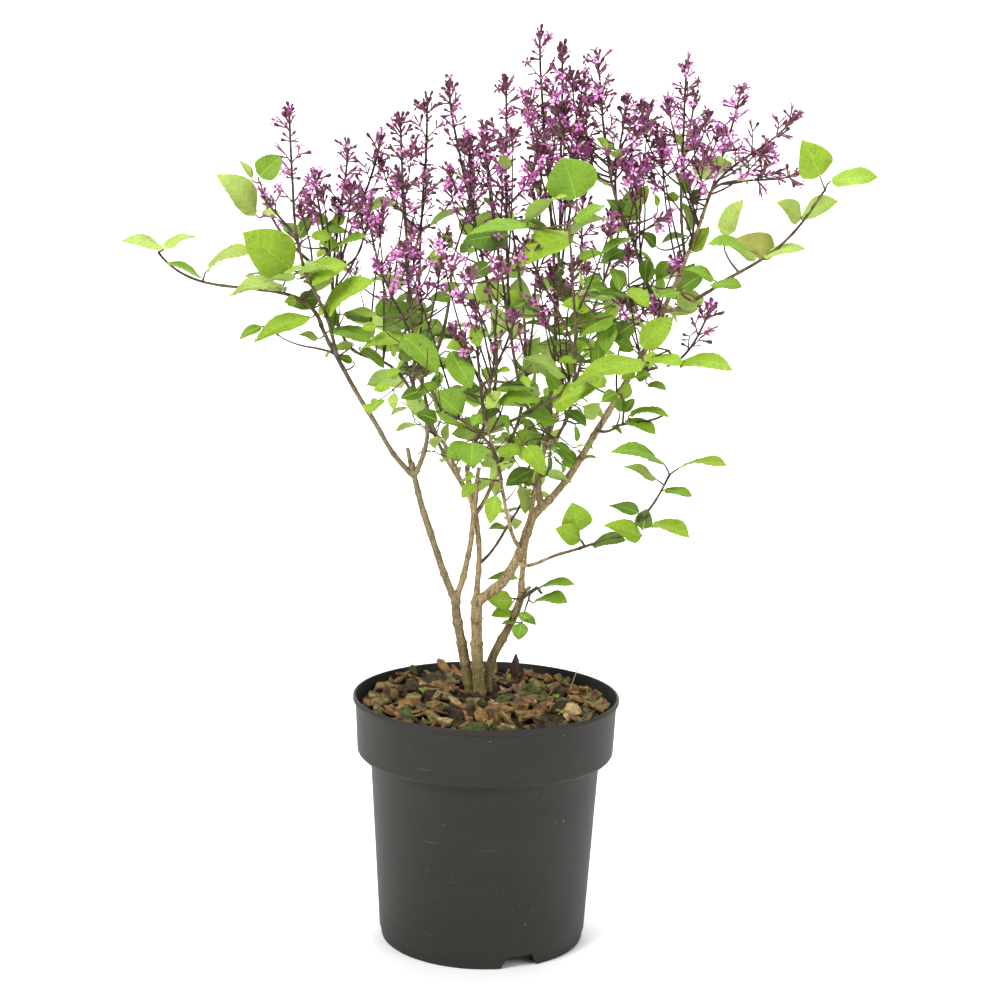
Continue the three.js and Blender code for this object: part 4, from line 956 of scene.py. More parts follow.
def make_leaf_green(name, green):
    """A leaf's green, mottled, with a fine net of paler lines and its side veins paler still."""
    material, nodes, links, shader = finish_nodes(name)
    patches = noise_node(nodes, links, 110)
    base = blend_colours(nodes, links, patches.outputs["Fac"], shade(green, 0.80), shade(green, 1.10))
    place = nodes.new("ShaderNodeTexCoord")
    net = nodes.new("ShaderNodeTexVoronoi")
    net.feature = "DISTANCE_TO_EDGE"
    net.inputs["Scale"].default_value = 330
    links.new(place.outputs["Object"], net.inputs["Vector"])
    base = blend_colours(nodes, links, net.outputs["Distance"], shade(green, 1.12), base, 0.02, 0.14)
    distance = nodes.new("ShaderNodeAttribute")
    distance.attribute_name = "veins"
    distance = distance.outputs["Fac"]
    for operation, value in (("FRACT", 0), ("SUBTRACT", 0.5), ("ABSOLUTE", 0)):
        step = nodes.new("ShaderNodeMath")
        step.operation = operation
        step.inputs[1].default_value = value
        links.new(distance, step.inputs[0])
        distance = step.outputs["Value"]
    vein = tuple(min(1, 1.22 * channel + 0.008) for channel in green)
    base = blend_colours(nodes, links, distance, vein, base, 0.015, 0.075)
    links.new(base, shader.inputs["Base Color"])
    add_bump(nodes, links, shader, net.outputs["Distance"], 0.35, 0.0004)
    shader.inputs["Roughness"].default_value = 0.55
    shader.inputs["Specular IOR Level"].default_value = 0.2
    return material


def shade(colour, factor):
    return tuple(min(1, channel * factor) for channel in colour)


def make_pot_plastic(colour):
    """Satin charcoal plastic with faint scuffs, a few dust specks and a moulded grain."""
    material, nodes, links, shader = finish_nodes("pot_plastic")
    scuffs = noise_node(nodes, links, 9, (1, 1, 3.5), detail=6, roughness=0.65)
    base = blend_colours(nodes, links, scuffs.outputs["Fac"], shade(colour, 0.9), shade(colour, 1.16))
    scratches = noise_node(nodes, links, 16, (1, 1, 22), detail=2)
    base = blend_colours(nodes, links, scratches.outputs["Fac"], base, shade(colour, 2.6), 0.71, 0.76)
    specks = noise_node(nodes, links, 420, detail=1)
    base = blend_colours(nodes, links, specks.outputs["Fac"], base, (0.20, 0.19, 0.17), 0.79, 0.82)
    links.new(base, shader.inputs["Base Color"])
    grain = noise_node(nodes, links, 700, detail=3)
    add_bump(nodes, links, shader, grain.outputs["Fac"], 0.16, 0.0003)
    shader.inputs["Roughness"].default_value = 0.58
    shader.inputs["Specular IOR Level"].default_value = 0.26
    return material


def make_old_bark(colour):
    """Grey-tan bark with dark cracks along it, weathered pale patches, a green tinge near the soil, and
    painted shade that darkens the bark left of the plant's middle.
    """
    material, nodes, links, shader = finish_nodes("old_bark")
    streaks = noise_node(nodes, links, 330, (1, 1, 0.2), detail=5, roughness=0.75)
    base = blend_colours(
        nodes, links, streaks.outputs["Fac"], shade(colour, 0.30), shade(colour, 1.2), 0.34, 0.60)
    patches = noise_node(nodes, links, 60, (1, 1, 0.5), detail=4)
    base = blend_colours(nodes, links, patches.outputs["Fac"], base, shade(colour, 1.7), 0.54, 0.72)
    pits = noise_node(nodes, links, 520, (1, 1, 0.7), detail=1)
    base = blend_colours(nodes, links, pits.outputs["Fac"], base, shade(colour, 0.22), 0.66, 0.72)
    grain = noise_node(nodes, links, 900, (1, 1, 0.6), detail=2)
    base = blend_colours(nodes, links, grain.outputs["Fac"], base, shade(colour, 1.9), 0.60, 0.68)
    place = nodes.new("ShaderNodeTexCoord")
    parts = nodes.new("ShaderNodeSeparateXYZ")
    links.new(place.outputs["Object"], parts.inputs["Vector"])
    base = stain_and_painted_shade(nodes, links, base, parts.outputs["Z"], (0.105, 0.094, 0.018), 0.205, 0.300, 0.72)
    # painted shade: the bark left of x = -22 mm, and fully left of x = -48 mm, is half blended towards a
    # darker colour, as on a shaded side
    base = stain_and_painted_shade(nodes, links, base, parts.outputs["X"], (0.110, 0.104, 0.066), -0.048, -0.022, 0.5)
    links.new(base, shader.inputs["Base Color"])
    add_bump(nodes, links, shader, streaks.outputs["Fac"], 0.8, 0.0009)
    shader.inputs["Roughness"].default_value = 0.82
    shader.inputs["Specular IOR Level"].default_value = 0.25
    return material


# ---------------------------------------------------------------- settings


class LilacPotSettings(PropertyGroup):
    height: FloatProperty(
        name="Height", description="Height of the pot", default=POT_HIGH.z, min=0.05, unit="LENGTH")
    rim_radius: FloatProperty(
        name="Rim radius", description="Outer radius of the rim", default=POT_HIGH.x, min=0.02, unit="LENGTH")
    collar_height: FloatProperty(
        name="Collar height", description="Height of the wide band below the rim", default=0.053,
        unit="LENGTH")
    foot_radius: FloatProperty(
        name="Foot radius", description="Outer radius at the foot", default=0.0882, unit="LENGTH")
    wall: FloatProperty(
        name="Wall", description="Thickness of the wall", default=0.0022, unit="LENGTH")
    plastic: FloatVectorProperty(
        name="Plastic", description="Colour of the plastic", subtype="COLOR", size=3, min=0, max=1,
        default=(0.0178, 0.0166, 0.0138))
    chips: IntProperty(
        name="Bark chips", description="How many bark chips lie on the soil", default=330, min=0)


class LilacPlantSettings(PropertyGroup):
    leaf_width: FloatProperty(
        name="Leaf width", description="Width of a leaf blade over its length", default=0.74, min=0.2, max=1)
    petal_length: FloatProperty(
        name="Petal length", description="Length of a petal, in millimetres", default=5.4, min=1)
    tube_length: FloatProperty(
        name="Tube length", description="Length of a floret's tube, in millimetres", default=9.4, min=1)
    open_share: FloatProperty(
        name="Open florets", description="Share of the florets that are open", default=0.44, min=0, max=1)
    bark: FloatVectorProperty(
        name="Bark", description="Colour of old bark", subtype="COLOR", size=3, min=0, max=1,
        default=(0.28, 0.205, 0.105))
    leaf: FloatVectorProperty(
        name="Leaf", description="Colour of a sunlit leaf", subtype="COLOR", size=3, min=0, max=1,
        default=(0.222, 0.348, 0.024))
    petal: FloatVectorProperty(
        name="Petal", description="Colour of an open petal", subtype="COLOR", size=3, min=0, max=1,
        default=(0.57, 0.165, 0.46))


class LilacStageSettings(PropertyGroup):
    lens: FloatProperty(
        name="Lens", description="Focal length of the camera, in millimetres", default=74.7, min=10)
    floor: FloatVectorProperty(
        name="Floor", description="Colour of the floor and backdrop", subtype="COLOR", size=3, min=0, max=1,
        default=(0.93, 0.93, 0.93))
    light: FloatProperty(
        name="Light", description="Power of the main light, in watts", default=55, min=0)


# ---------------------------------------------------------------- pot and soil


def deselect_all():
    bpy.ops.object.select_all(action="DESELECT")


def extrude_rings(name, profile, around):
    """A closed turned shape: a ring is extruded and resized from one point of the profile to the next."""
    deselect_all()
    (radius, height), *others = profile
    bpy.ops.mesh.primitive_circle_add(
        vertices=around, radius=radius, fill_type="NGON", location=(0, 0, height))
    shape = bpy.context.object
    shape.name = name
    bpy.ops.object.transform_apply(location=True)
    bpy.ops.object.mode_set(mode="EDIT")
    bpy.ops.mesh.select_mode(type="EDGE")
    bpy.ops.mesh.select_all(action="DESELECT")
    bpy.ops.mesh.select_non_manifold()
    for next_radius, next_height in others:
        bpy.ops.mesh.extrude_edges_move(TRANSFORM_OT_translate={"value": (0, 0, next_height - height)})
        share = next_radius / radius
        bpy.ops.transform.resize(value=(share, share, 1), center_override=(0, 0, next_height))
        radius, height = next_radius, next_height
    bpy.ops.mesh.edge_face_add()
    bpy.ops.mesh.select_all(action="SELECT")
    bpy.ops.mesh.normals_make_consistent(inside=False)
    bpy.ops.object.mode_set(mode="OBJECT")
    return shape


def pot_outline(pot):
    """Radius and height of the pot's section, from the middle of its underside to the middle of its floor."""
    shoulder = pot.height - pot.collar_height
    shoulder_radius, collar_radius = 0.0999, 0.1109
    rim_foot = pot.height - 0.005
    channel, floor_top = 0.005, 0.009
    collar_curve = [
        (collar_radius - 0.0075 * (1 - math.sin(turn)), shoulder + 0.0075 * (1 - math.cos(turn)) * 0.8)
        for turn in np.linspace(0, QUARTER_TURN, 7)
    ]
    return [
        (0.046, 0), (0.050, channel), (0.078, channel), (0.080, 0.0005), (0.0805, 0),
        (pot.foot_radius - 0.0015, 0), (pot.foot_radius - 0.0004, 0.0006), (pot.foot_radius, 0.002),
        (pot.foot_radius + 0.0004, 0.0072), (pot.foot_radius + 0.0013, 0.0080),
        (pot.foot_radius + 0.0017, 0.0096),
        (shoulder_radius - 0.0006, shoulder - 0.0012), (shoulder_radius, shoulder - 0.0003),
        *collar_curve,
        (pot.rim_radius - 0.0022, rim_foot - 0.0015), (pot.rim_radius - 0.0016, rim_foot - 0.0003),
        (pot.rim_radius - 0.0003, rim_foot + 0.0004), (pot.rim_radius, rim_foot + 0.0012),
        (pot.rim_radius, pot.height - 0.001), (pot.rim_radius - 0.0004, pot.height - 0.0003),
        (pot.rim_radius - 0.0011, pot.height), (pot.rim_radius - pot.wall, pot.height - 0.0004),
        (pot.rim_radius - pot.wall - 0.0002, pot.height - 0.002),
        (collar_radius - pot.wall, shoulder + 0.008), (shoulder_radius - pot.wall, shoulder + 0.003),
        (pot.foot_radius - pot.wall, floor_top + 0.002), (pot.foot_radius - pot.wall - 0.002, floor_top),
    ]


def cut_away(piece, cutter):
    modifier = piece.modifiers.new("cut", "BOOLEAN")
    modifier.operation = "DIFFERENCE"
    modifier.solver = "EXACT"
    modifier.object = cutter
    deselect_all()
    piece.select_set(True)
    bpy.context.view_layer.objects.active = piece
    bpy.ops.object.modifier_apply(modifier=modifier.name)
    bpy.data.objects.remove(cutter)


def make_pot(pot):
    shell = extrude_rings("nursery_pot", pot_outline(pot), 128)
    notch_turn, notch_width, notch_height, taper = math.radians(-68), 0.034, 0.011, 0.006
    for n in range(3):
        deselect_all()
        bpy.ops.mesh.primitive_cube_add(
            size=1, location=(pot.foot_radius - 0.003, 0, notch_height / 2 - 0.0005),
            scale=(0.014, notch_width, notch_height + 0.001))
        cutter = bpy.context.object
        bpy.ops.object.transform_apply(location=True, rotation=True, scale=True)
        top = [vertex for vertex in cutter.data.vertices if vertex.co.z > notch_height / 2]
        for vertex in top:
            vertex.co.y -= math.copysign(taper, vertex.co.y)
        cutter.data.transform(Matrix.Rotation(notch_turn + n / 3 * 2 * math.pi, 4, "Z"))
        cut_away(shell, cutter)
    for n in range(4):
        turn = (n + 0.5) / 4 * 2 * math.pi
        deselect_all()
        bpy.ops.mesh.primitive_cylinder_add(
            vertices=24, radius=0.006, depth=0.02,
            location=(0.064 * math.cos(turn), 0.064 * math.sin(turn), 0.005))
        bpy.ops.object.transform_apply(location=True)
        cut_away(shell, bpy.context.object)
    deselect_all()
    shell.select_set(True)
    bpy.context.view_layer.objects.active = shell
    bpy.ops.object.shade_smooth_by_angle(angle=math.radians(32))
    shell.data.materials.clear()
    shell.data.materials.append(make_pot_plastic(tuple(pot.plastic)))
    settle(shell, ["pot"])


def soil_height(radius):
    """The mounded surface of the soil, in millimetres, at a distance from the middle."""
    return SOIL_LINE - 1.0 - 9 * (radius / 112) ** 2.2


def make_soil(pot):
    """Dark crumbly compost: a mound turned like the pot, then roughened by displacement."""
    inside = (pot.rim_radius - pot.wall) / MM - 1.0
    rings = [(inside - 6, 178), (inside - 2.8, 186), (inside - 1.2, soil_height(inside))]
    rings += [(radius, soil_height(radius)) for radius in np.linspace(inside - 5, 6, 26)]
    soil = extrude_rings("soil_mound", [(radius * MM, height * MM) for radius, height in rings], 96)
    deselect_all()
    soil.select_set(True)
    bpy.context.view_layer.objects.active = soil
    for name, size, strength in (("lumps", 0.018, 0.005), ("crumbs", 0.006, 0.0035)):
        clouds = bpy.data.textures.new(name, "CLOUDS")
        clouds.noise_scale = size
        modifier = soil.modifiers.new(name, "DISPLACE")
        modifier.texture = clouds
        modifier.strength = strength
        modifier.direction = "Z"
        modifier.texture_coords = "LOCAL"
        bpy.ops.object.modifier_apply(modifier=modifier.name)
    bpy.ops.object.shade_smooth()
    soil.data.materials.clear()
    soil.data.materials.append(mottled(
        "compost", (0.014, 0.009, 0.006), (0.055, 0.033, 0.018), 160, 0.95, bump=0.9, depth=0.0014,
        gloss=0.2))
    settle(soil, ["soil"])


CHIP_TONES = [
    ("chip_rust", (0.205, 0.108, 0.036), 0.22), ("chip_brown", (0.128, 0.074, 0.030), 0.32),
    ("chip_dark", (0.036, 0.024, 0.009), 0.22), ("chip_olive", (0.155, 0.124, 0.040), 0.13),
    ("chip_moss", (0.056, 0.070, 0.014), 0.05), ("chip_pale", (0.34, 0.235, 0.105), 0.06),
]


def chip_shape(run, length, width, thickness):
    """A flat flake of bark with a ragged outline and a slightly crowned top."""
    corners = 7
    turns = [(n + run.pick(-0.3, 0.3)) / corners * 2 * math.pi for n in range(corners)]
    reach = [run.pick(0.66, 1.15) for _ in turns]
    edge = np.array([
        (math.cos(t) * length / 2 * r, math.sin(t) * width / 2 * r, 0) for t, r in zip(turns, reach)])
    rings = []
    for share, height in ((0.9, -0.5), (1.0, 0.1), (0.88, 0.42), (0.45, 0.5)):
        ring = edge * (share, share, 1)
        ring[:, 2] = [height * thickness + run.pick(-0.16, 0.16) * thickness for _ in turns]
        rings.append(ring)
    vertices = np.concatenate([*rings, [(0, 0, 0.52 * thickness)]])
    faces = [
        (ring * corners + n, ring * corners + (n + 1) % corners,
         (ring + 1) * corners + (n + 1) % corners, (ring + 1) * corners + n)
        for ring in range(3) for n in range(corners)
    ]
    top = 3 * corners
    caps = [(top + n, top + (n + 1) % corners, 4 * corners) for n in range(corners)]
    base = [(0, n + 1, n) for n in range(1, corners - 1)]
    return vertices, faces, caps + base


def pick_tone(run, tones):
    share = run()
    for n, (*_, weight) in enumerate(tones):
        share -= weight
        if share <= 0:
            return n
    return 0


def add_flake(heap, run, centre, tilt, length, width, thickness, tone):
    vertices, walls, caps = chip_shape(run, length, width, thickness)
    turn = Matrix.Rotation(run.pick(0, 2 * math.pi), 3, "Z") @ Matrix.Rotation(tilt[0], 3, "X")
    turn = turn @ Matrix.Rotation(tilt[1], 3, "Y") @ Matrix.Rotation(run.pick(0, 6.28), 3, "Z")
    placed = vertices @ np.array(turn).T + centre
    heap.add(placed, walls, [tone] * (len(walls) + len(caps)), caps=caps)


def make_chips(pot):
    """Bark chips and crumbs strewn over the soil, a few standing proud at the back."""
    run = Run(70)
    heap = Heap()
    furthest = 106
    for n in range(pot.chips):
        radius = furthest * math.sqrt((n + 0.5) / pot.chips)
        angle = n * 2.399 + run.pick(-0.2, 0.2)
        length = run.pick(10, 20) + 14 * run() ** 2
        tilt = (run.pick(-0.55, 0.55), run.pick(-0.55, 0.55))
        if run() < 0.12:
            tilt = (run.pick(0.8, 1.3), run.pick(-0.3, 0.3))
        reach = min(radius, furthest - length * 0.32)
        if reach < 12:
            continue
        centre = (reach * math.cos(angle), reach * math.sin(angle), soil_height(reach) + run.pick(1.5, 5.5))
        add_flake(heap, run, centre, tilt, length, length * run.pick(0.42, 0.78), run.pick(1.6, 3.2),
                  pick_tone(run, CHIP_TONES))
    for x, y, z, length, width, tone, lean in (
        (-76, 62, 213, 24, 15, 1, (0.5, 0.3)), (-66, 70, 218, 16, 11, 4, (1.1, 0.2)),
        (-40, 84, 218, 22, 12, 0, (0.7, -0.3)), (-92, 30, 211, 22, 15, 3, (0.4, 0.5)),
        (70, 64, 211, 20, 10, 4, (0.3, 0.4)), (-58, -40, 214, 25, 14, 4, (0.25, 0.2)),
    ):
        add_flake(heap, run, (x, y, z), lean, length, width, 2.8, tone)
    for n in range(600):
        radius = 108 * math.sqrt(run())
        angle = run.pick(0, 2 * math.pi)
        size = run.pick(2, 6)
        height = soil_height(radius) + run.pick(0.5, 3.5)
        centre = (radius * math.cos(angle), radius * math.sin(angle), height)
        tone = pick_tone(run, CHIP_TONES) if run() < 0.95 else 5
        vertices = np.array([(1, 0, -0.3), (-0.6, 0.6, -0.3), (-0.5, -0.7, -0.3), (0.1, 0, 0.5)]) * size * 0.6
        angle = run.pick(0, 6.28)
        axis = Vector((run() - 0.5, run() - 0.5, run() + 0.1))
        turn = np.array(Matrix.Rotation(angle, 3, axis))
        heap.add(vertices @ turn.T + centre, [(0, 2, 1), (0, 1, 3), (1, 2, 3), (2, 0, 3)], tone)
    materials = [
        mottled(
            name, shade(colour, 0.32), shade(colour, 1.5), 150, 0.85, bump=1.0, depth=0.0016, fine=3,
            gloss=0.25)
        for name, colour, _ in CHIP_TONES
    ]
    heap.make("bark_chips", materials, "compost", smooth=False)


def make_seedlings():
    """A dry stalk, a withered brown leaf and the small yellow-green shoots that come up through the chips."""
    heap = Heap()
    dry = np.array([(70, 10, 208), (74, 12, 222), (79, 14, 236), (85, 16, 243)], float)
    add_tube(heap, dry, [0.6, 0.55, 0.45, 0.3], 5, 0)
    for foot, tip, width, bend, tone in (
        ((21, 62, 209), (27, 60, 240), 9, 1.7, 1), ((27, 62, 209), (33, 58, 222), 5, 1.2, 1),
        ((19, 59, 208), (20, 56, 223), 4, 0.5, 2), ((50, 20, 210), (45, 12, 218), 3, 0.5, 2),
        ((58, 14, 209), (63, 2, 216), 5, 0.5, 2), ((-52, 12, 211), (-58, 2, 219), 4, 0.5, 2),
        ((-44, 6, 212), (-38, -4, 218), 3.5, 0.5, 2), ((60, -32, 208), (66, -40, 213), 3, 0.5, 2),
    ):
        foot, tip = np.array(foot, float), np.array(tip, float)
        along = unit(tip - foot)
        face = unit(np.array((0.2, -1, 0.5)) - along * np.array((0.2, -1, 0.5)).dot(along))
        add_blade(heap, foot, along, face, np.linalg.norm(tip - foot), width / np.linalg.norm(tip - foot),
                  bend, 0.6, 0.0, (tone, tone, tone), veins=2, twist=0.4 * bend)
    materials = [
        mottled("dry_stalk", (0.42, 0.26, 0.12), (0.25, 0.14, 0.07), 200, 0.8),
        mottled("brown_leaf", (0.024, 0.012, 0.007), (0.064, 0.031, 0.016), 200, 0.75),
        mottled("lime_shoot", (0.42, 0.55, 0.04), (0.30, 0.42, 0.05), 200, 0.6),
    ]
    heap.make("seedlings", materials, "foliage")


# ---------------------------------------------------------------- bark and twigs

BARKS = {"old": 0, "young": 1}


def wander(points, seed, reach, scale):
    """The same points moved a little off their line, so that wood isn't dead straight."""
    moved = points.copy()
    for n, spot in enumerate(points):
        fade = min(1, n / 4, (len(points) - 1 - n) / 4)
        moved[n] += np.array(noise.noise_vector(Vector(spot * scale) + Vector((seed, 0, 0)))) * reach * fade
    return moved


def add_limb(heap, limb, seed, sides, spacing, flare=0.0, below=0.0):
    """A limb with knuckles at its old leaf joints, low ridges along it and a flared foot."""
    path, radii, ages, line = limb
    rings = max(6, int(path.length / spacing))
    shares = np.linspace(0, 1, rings + 1)
    points = wander(line(shares), seed, 1.1, 0.03)
    if below:
        points[0] = points[0] - below * path.along(0)
    run_along = shares * path.length
    radius = between(radii, shares) * (1 + flare * np.clip(1 - run_along / 14, 0, 1) ** 2)
    joint = 19 + 3 * (seed % 3)
    knuckle = np.exp(-(((run_along + seed * 7) % joint - joint / 2) / 1.7) ** 2)
    radius = radius * (1.05 + 0.2 * knuckle)
    relief = np.ones((len(points), sides))
    for n, distance in enumerate(run_along):
        for side in range(sides):
            turn = side / sides * 2 * math.pi
            ridge = noise.noise(Vector((math.cos(turn) * 1.5 + seed, math.sin(turn) * 1.5, distance * 0.06)))
            grain = noise.noise(Vector((math.cos(turn) * 4, math.sin(turn) * 4 + seed, distance * 0.4)))
            relief[n, side] += 0.16 * ridge + 0.11 * grain
    finish = [
        BARKS[ages[0]] if (n + 0.5) / rings < 0.62 else BARKS[ages[1]]
        for n in range(rings) for _ in range(sides)
    ]
    add_tube(heap, points, radius, sides, finish, relief)
    return points, radius


def add_lenticels(heap, points, radius, seed, spacing, finish):
    """Pale raised breathing pores, scattered over the older bark."""
    run = Run(seed + 900)
    along, across, square = carried_frames(points)
    length = np.linalg.norm(np.diff(points, axis=0), axis=1).sum()
    for _ in range(int(length / spacing)):
        n = int(run.pick(1, len(points) - 2))
        turn = run.pick(0, 2 * math.pi)
        out = math.cos(turn) * across[n] + math.sin(turn) * square[n]
        side = np.cross(along[n], out)
        size = run.pick(0.3, 0.62)
        centre = points[n] + out * radius[n] * 0.97
        corners = [centre + side * size * 1.2, centre + along[n] * size, centre - side * size * 1.2,
                   centre - along[n] * size, centre + out * 0.45]
        heap.add(corners, [(0, 1, 4), (1, 2, 4), (2, 3, 4), (3, 0, 4)], finish)


def make_bark(plant, settings):
    """All stems and boughs with the relief of their bark, their pruned stubs and their lenticels."""
    heap = Heap()
    for seed, (name, limb) in enumerate(plant["limbs"].items()):
        is_stem = LIMBS[name][0] is None
        stout = limb.radii[0] > 2.4
        points, radius = add_limb(
            heap, limb, seed, 14 if stout else 9, 1.7 if stout else 2.4,
            flare=0.12 if is_stem else 0.22, below=9 if is_stem else 0)
        if limb.ages[0] == "old":
            add_lenticels(heap, points, radius, seed, 1.6 if is_stem else 3.2, 2)
    for seed, (name, share, way, length, radius) in enumerate(SNAGS):
        root = plant["limbs"][name].line(share)
        points = root + np.linspace(0, 1, 6)[:, None] * length * unit(np.array(way, float))
        add_tube(heap, points, radius * np.array([1.1, 1, 0.97, 0.95, 0.92, 0.7]), 8, 0)
    bark = tuple(settings.bark)
    materials = [
        make_old_bark(bark),
        # young bark: dark brown with pale olive-tan streaks along it, partly the bark's own streaks and
        # partly a painted highlight of its lit side
        mottled("young_bark", (0.040, 0.024, 0.016), (0.150, 0.103, 0.060), 240, 0.65, (1, 1, 0.35), 0.6,
                0.0005, gloss=0.3),
        mottled("lenticel", shade(bark, 1.7), shade(bark, 2.2), 300, 0.85, gloss=0.2),
    ]
    heap.make("bark_relief", materials, "old_bark", list(LIMBS))


def make_twigs(plant):
    """The leaders of every mass and their short side shoots, growing on from the limbs' tips."""
    heap = Heap()
    for leader in plant["leaders"]:
        end = plant["ends"][leader.seed]
        if not end:
            continue
        rings = max(6, int(leader.path.length * end / 3.4))
        shares = np.linspace(0, end, rings + 1)
        points = wander(leader.line(shares), leader.seed, 0.7, 0.03)
        body = between(leader.radii, np.minimum(1, shares / leader.bloom_from) ** 0.7)
        radius = np.where(shares < leader.bloom_from, body, body * (1 - 0.35 * (shares - leader.bloom_from)))
        nodes = shares / leader.bloom_from * leader.nodes
        knuckle = np.exp(-((nodes - np.round(nodes)) * TWIG["node_spacing"] / 1.8) ** 2)
        radius = radius * (1 + 0.22 * knuckle * (shares <= leader.bloom_from))
        age = 0 if leader.ages[0] == "old" else 1
        finish = [
            age if share < 0.3 * leader.bloom_from else 3 if share > leader.bloom_from - 0.1 else 1
            for share in shares[:-1] for _ in range(7)
        ]
        add_tube(heap, points, radius, 7, finish)
    for path, radii in plant["twigs"]:
        shares = np.linspace(0, 1, 5)
        add_tube(heap, path.at(shares), between(radii, shares), 5, 2)
    for radii, knots in HAND_TWIGS:
        points = Path(*knots).at(np.linspace(0, 1, 14))
        add_tube(heap, wander(points, len(knots), 0.5, 0.05), between(radii, np.linspace(0, 1, 14)), 7, 1)
    materials = [
        FINISHES["old_bark"], FINISHES["young_bark"],
        mottled("green_shoot", (0.11, 0.10, 0.03), (0.055, 0.030, 0.020), 260, 0.65, gloss=0.3),
        mottled("flowering_shoot", (0.026, 0.015, 0.012), (0.062, 0.038, 0.027), 260, 0.65, gloss=0.3),
    ]
    heap.make("twigs", materials, "young_bark", list(MASSES))


# ---------------------------------------------------------------- leaves


BLADE_SHARES = (0, 0.02, 0.06, 0.13, 0.22, 0.33, 0.45, 0.58, 0.70, 0.80, 0.88, 0.94, 1)
BLADE_WIDTHS = (0.03, 0.22, 0.46, 0.70, 0.88, 0.98, 1, 0.94, 0.80, 0.60, 0.38, 0.18, 0.01)
POINTED_WIDTHS = (0.05, 0.34, 0.66, 0.90, 1, 0.97, 0.87, 0.72, 0.54, 0.38, 0.22, 0.10, 0.0)
BLADE_COLUMNS = np.array([-1, -0.7, -0.35, 0, 0, 0.35, 0.7, 1])
RIB_SIDE = np.array([0, 0, 0, -1, 1, 0, 0, 0])
VEIN_SLANT, VEIN_DEPTH, BLADE_THICKNESS = 0.22, 0.017, 0.32


def blade_width(share, pointed):
    """Half-width of a leaf at a share of its length, 1 at its widest: from a rounded blade to one that is
    broad at its root and drawn out at its tip."""
    widths = [np.interp(share, BLADE_SHARES, widths) for widths in (BLADE_WIDTHS, POINTED_WIDTHS)]
    return between(widths, pointed)


def add_blade(heap, root, along, face, length, width, bend, fold, wave, finishes,
              veins=5, twist=0.0, pointed=0.0):
    """A leaf blade with an upper and a lower skin, whose rows of faces follow its side veins. It droops by
    bend, turns by twist towards its tip, its halves rise by fold, and its edge waves. finishes are those of
    the upper skin, the midrib and the lower skin."""
    upper, rib, lower = finishes
    rows = 2 * veins + 3
    columns = len(BLADE_COLUMNS)
    spread = np.abs(BLADE_COLUMNS)[None, :]
    shares = 0.012 + 0.98 * np.linspace(0, 1, rows + 1)[:, None]
    shares = shares + VEIN_SLANT * spread ** 1.4 * np.clip(np.minimum(5 * shares, 2.2 * (1 - shares)), 0, 1)
    shares[-1] = 0.992
    half = blade_width(shares, pointed) * width * length / 2
    offset = half * BLADE_COLUMNS + np.minimum(0.34 * (1.1 - shares), half * 0.3) * RIB_SIDE
    turn = bend * (shares - 0.35)
    forth = length * (np.sin(turn) + math.sin(bend * 0.35)) / bend
    rise = length * (np.cos(turn) - math.cos(bend * 0.35)) / bend
    lift = np.abs(offset) * fold * (1 - 0.35 * spread)
    lift = lift + wave * length * np.sin(8 * shares + 2.2 * np.sign(BLADE_COLUMNS)) * spread ** 2
    crest = np.where(np.arange(rows + 1)[:, None] % 2, -1, 1)
    lift = lift + VEIN_DEPTH * length * crest * 4 * spread * (1.12 - spread)
    across = np.cross(face, along)
    tilt = twist * (shares - 0.3)

    def place(height):
        sideways = offset * np.cos(tilt) - height * np.sin(tilt)
        height = offset * np.sin(tilt) + height * np.cos(tilt)
        return (
            root + (forth + height * np.sin(turn))[..., None] * along
            + sideways[..., None] * across + (rise + height * np.cos(turn))[..., None] * face
        ).reshape(-1, 3)

    inner = ((spread < 1) & (np.arange(rows + 1)[:, None] % rows > 0)).astype(float)
    count = (rows + 1) * columns
    cells = [
        (r * columns + c, r * columns + c + 1, (r + 1) * columns + c + 1, (r + 1) * columns + c)
        for r in range(rows) for c in range(columns - 1)
    ]
    top = [(a, d, c, b) for a, b, c, d in cells]
    under = [(a + count, b + count, c + count, d + count) for a, b, c, d in cells]
    middle = columns // 2 - 1
    tones = [rib if n % (columns - 1) == middle else upper for n in range(len(top))] + [lower] * len(under)
    marks = np.tile(np.repeat(np.arange(rows + 1) / 2, columns), 2)
    heap.add(np.concatenate([place(lift), place(lift - BLADE_THICKNESS * inner)]), top + under, tones, marks)


# the second and third greens are darker copies of the sunlit green: the second partly a darker tone and
# partly painted shade, the third painted shade for leaves inside the bush, at its back and in shade
LEAF_TONES = ["leaf_bright", "leaf_fresh_and_shaded", "leaf_shaded", "leaf_young", "leaf_bronze"]
RIB, UNDERSIDE, PETIOLE = 5, 6, 7


def leaf_tone(leaf, run):
    """Which green a leaf has: pale at the tips, bright at its outside with now and then a darker tone, and
    inside the bush or at its back a darker copy of the green that is painted shade.
    """
    inside = math.hypot(leaf.root[0], leaf.root[1] * 1.2) < 62 and leaf.root[2] > 380
    chance = run()
    if leaf.mass == "far_right" and leaf.node == 2 and not leaf.leader.first:
        return 4
    if leaf.share > 0.9 and chance < 0.55:
        return 3
    if inside or leaf.root[1] > 40:
        return 2 if chance < 0.6 else 1
    return 0 if chance < 0.55 else 1 if chance < 0.85 else 3


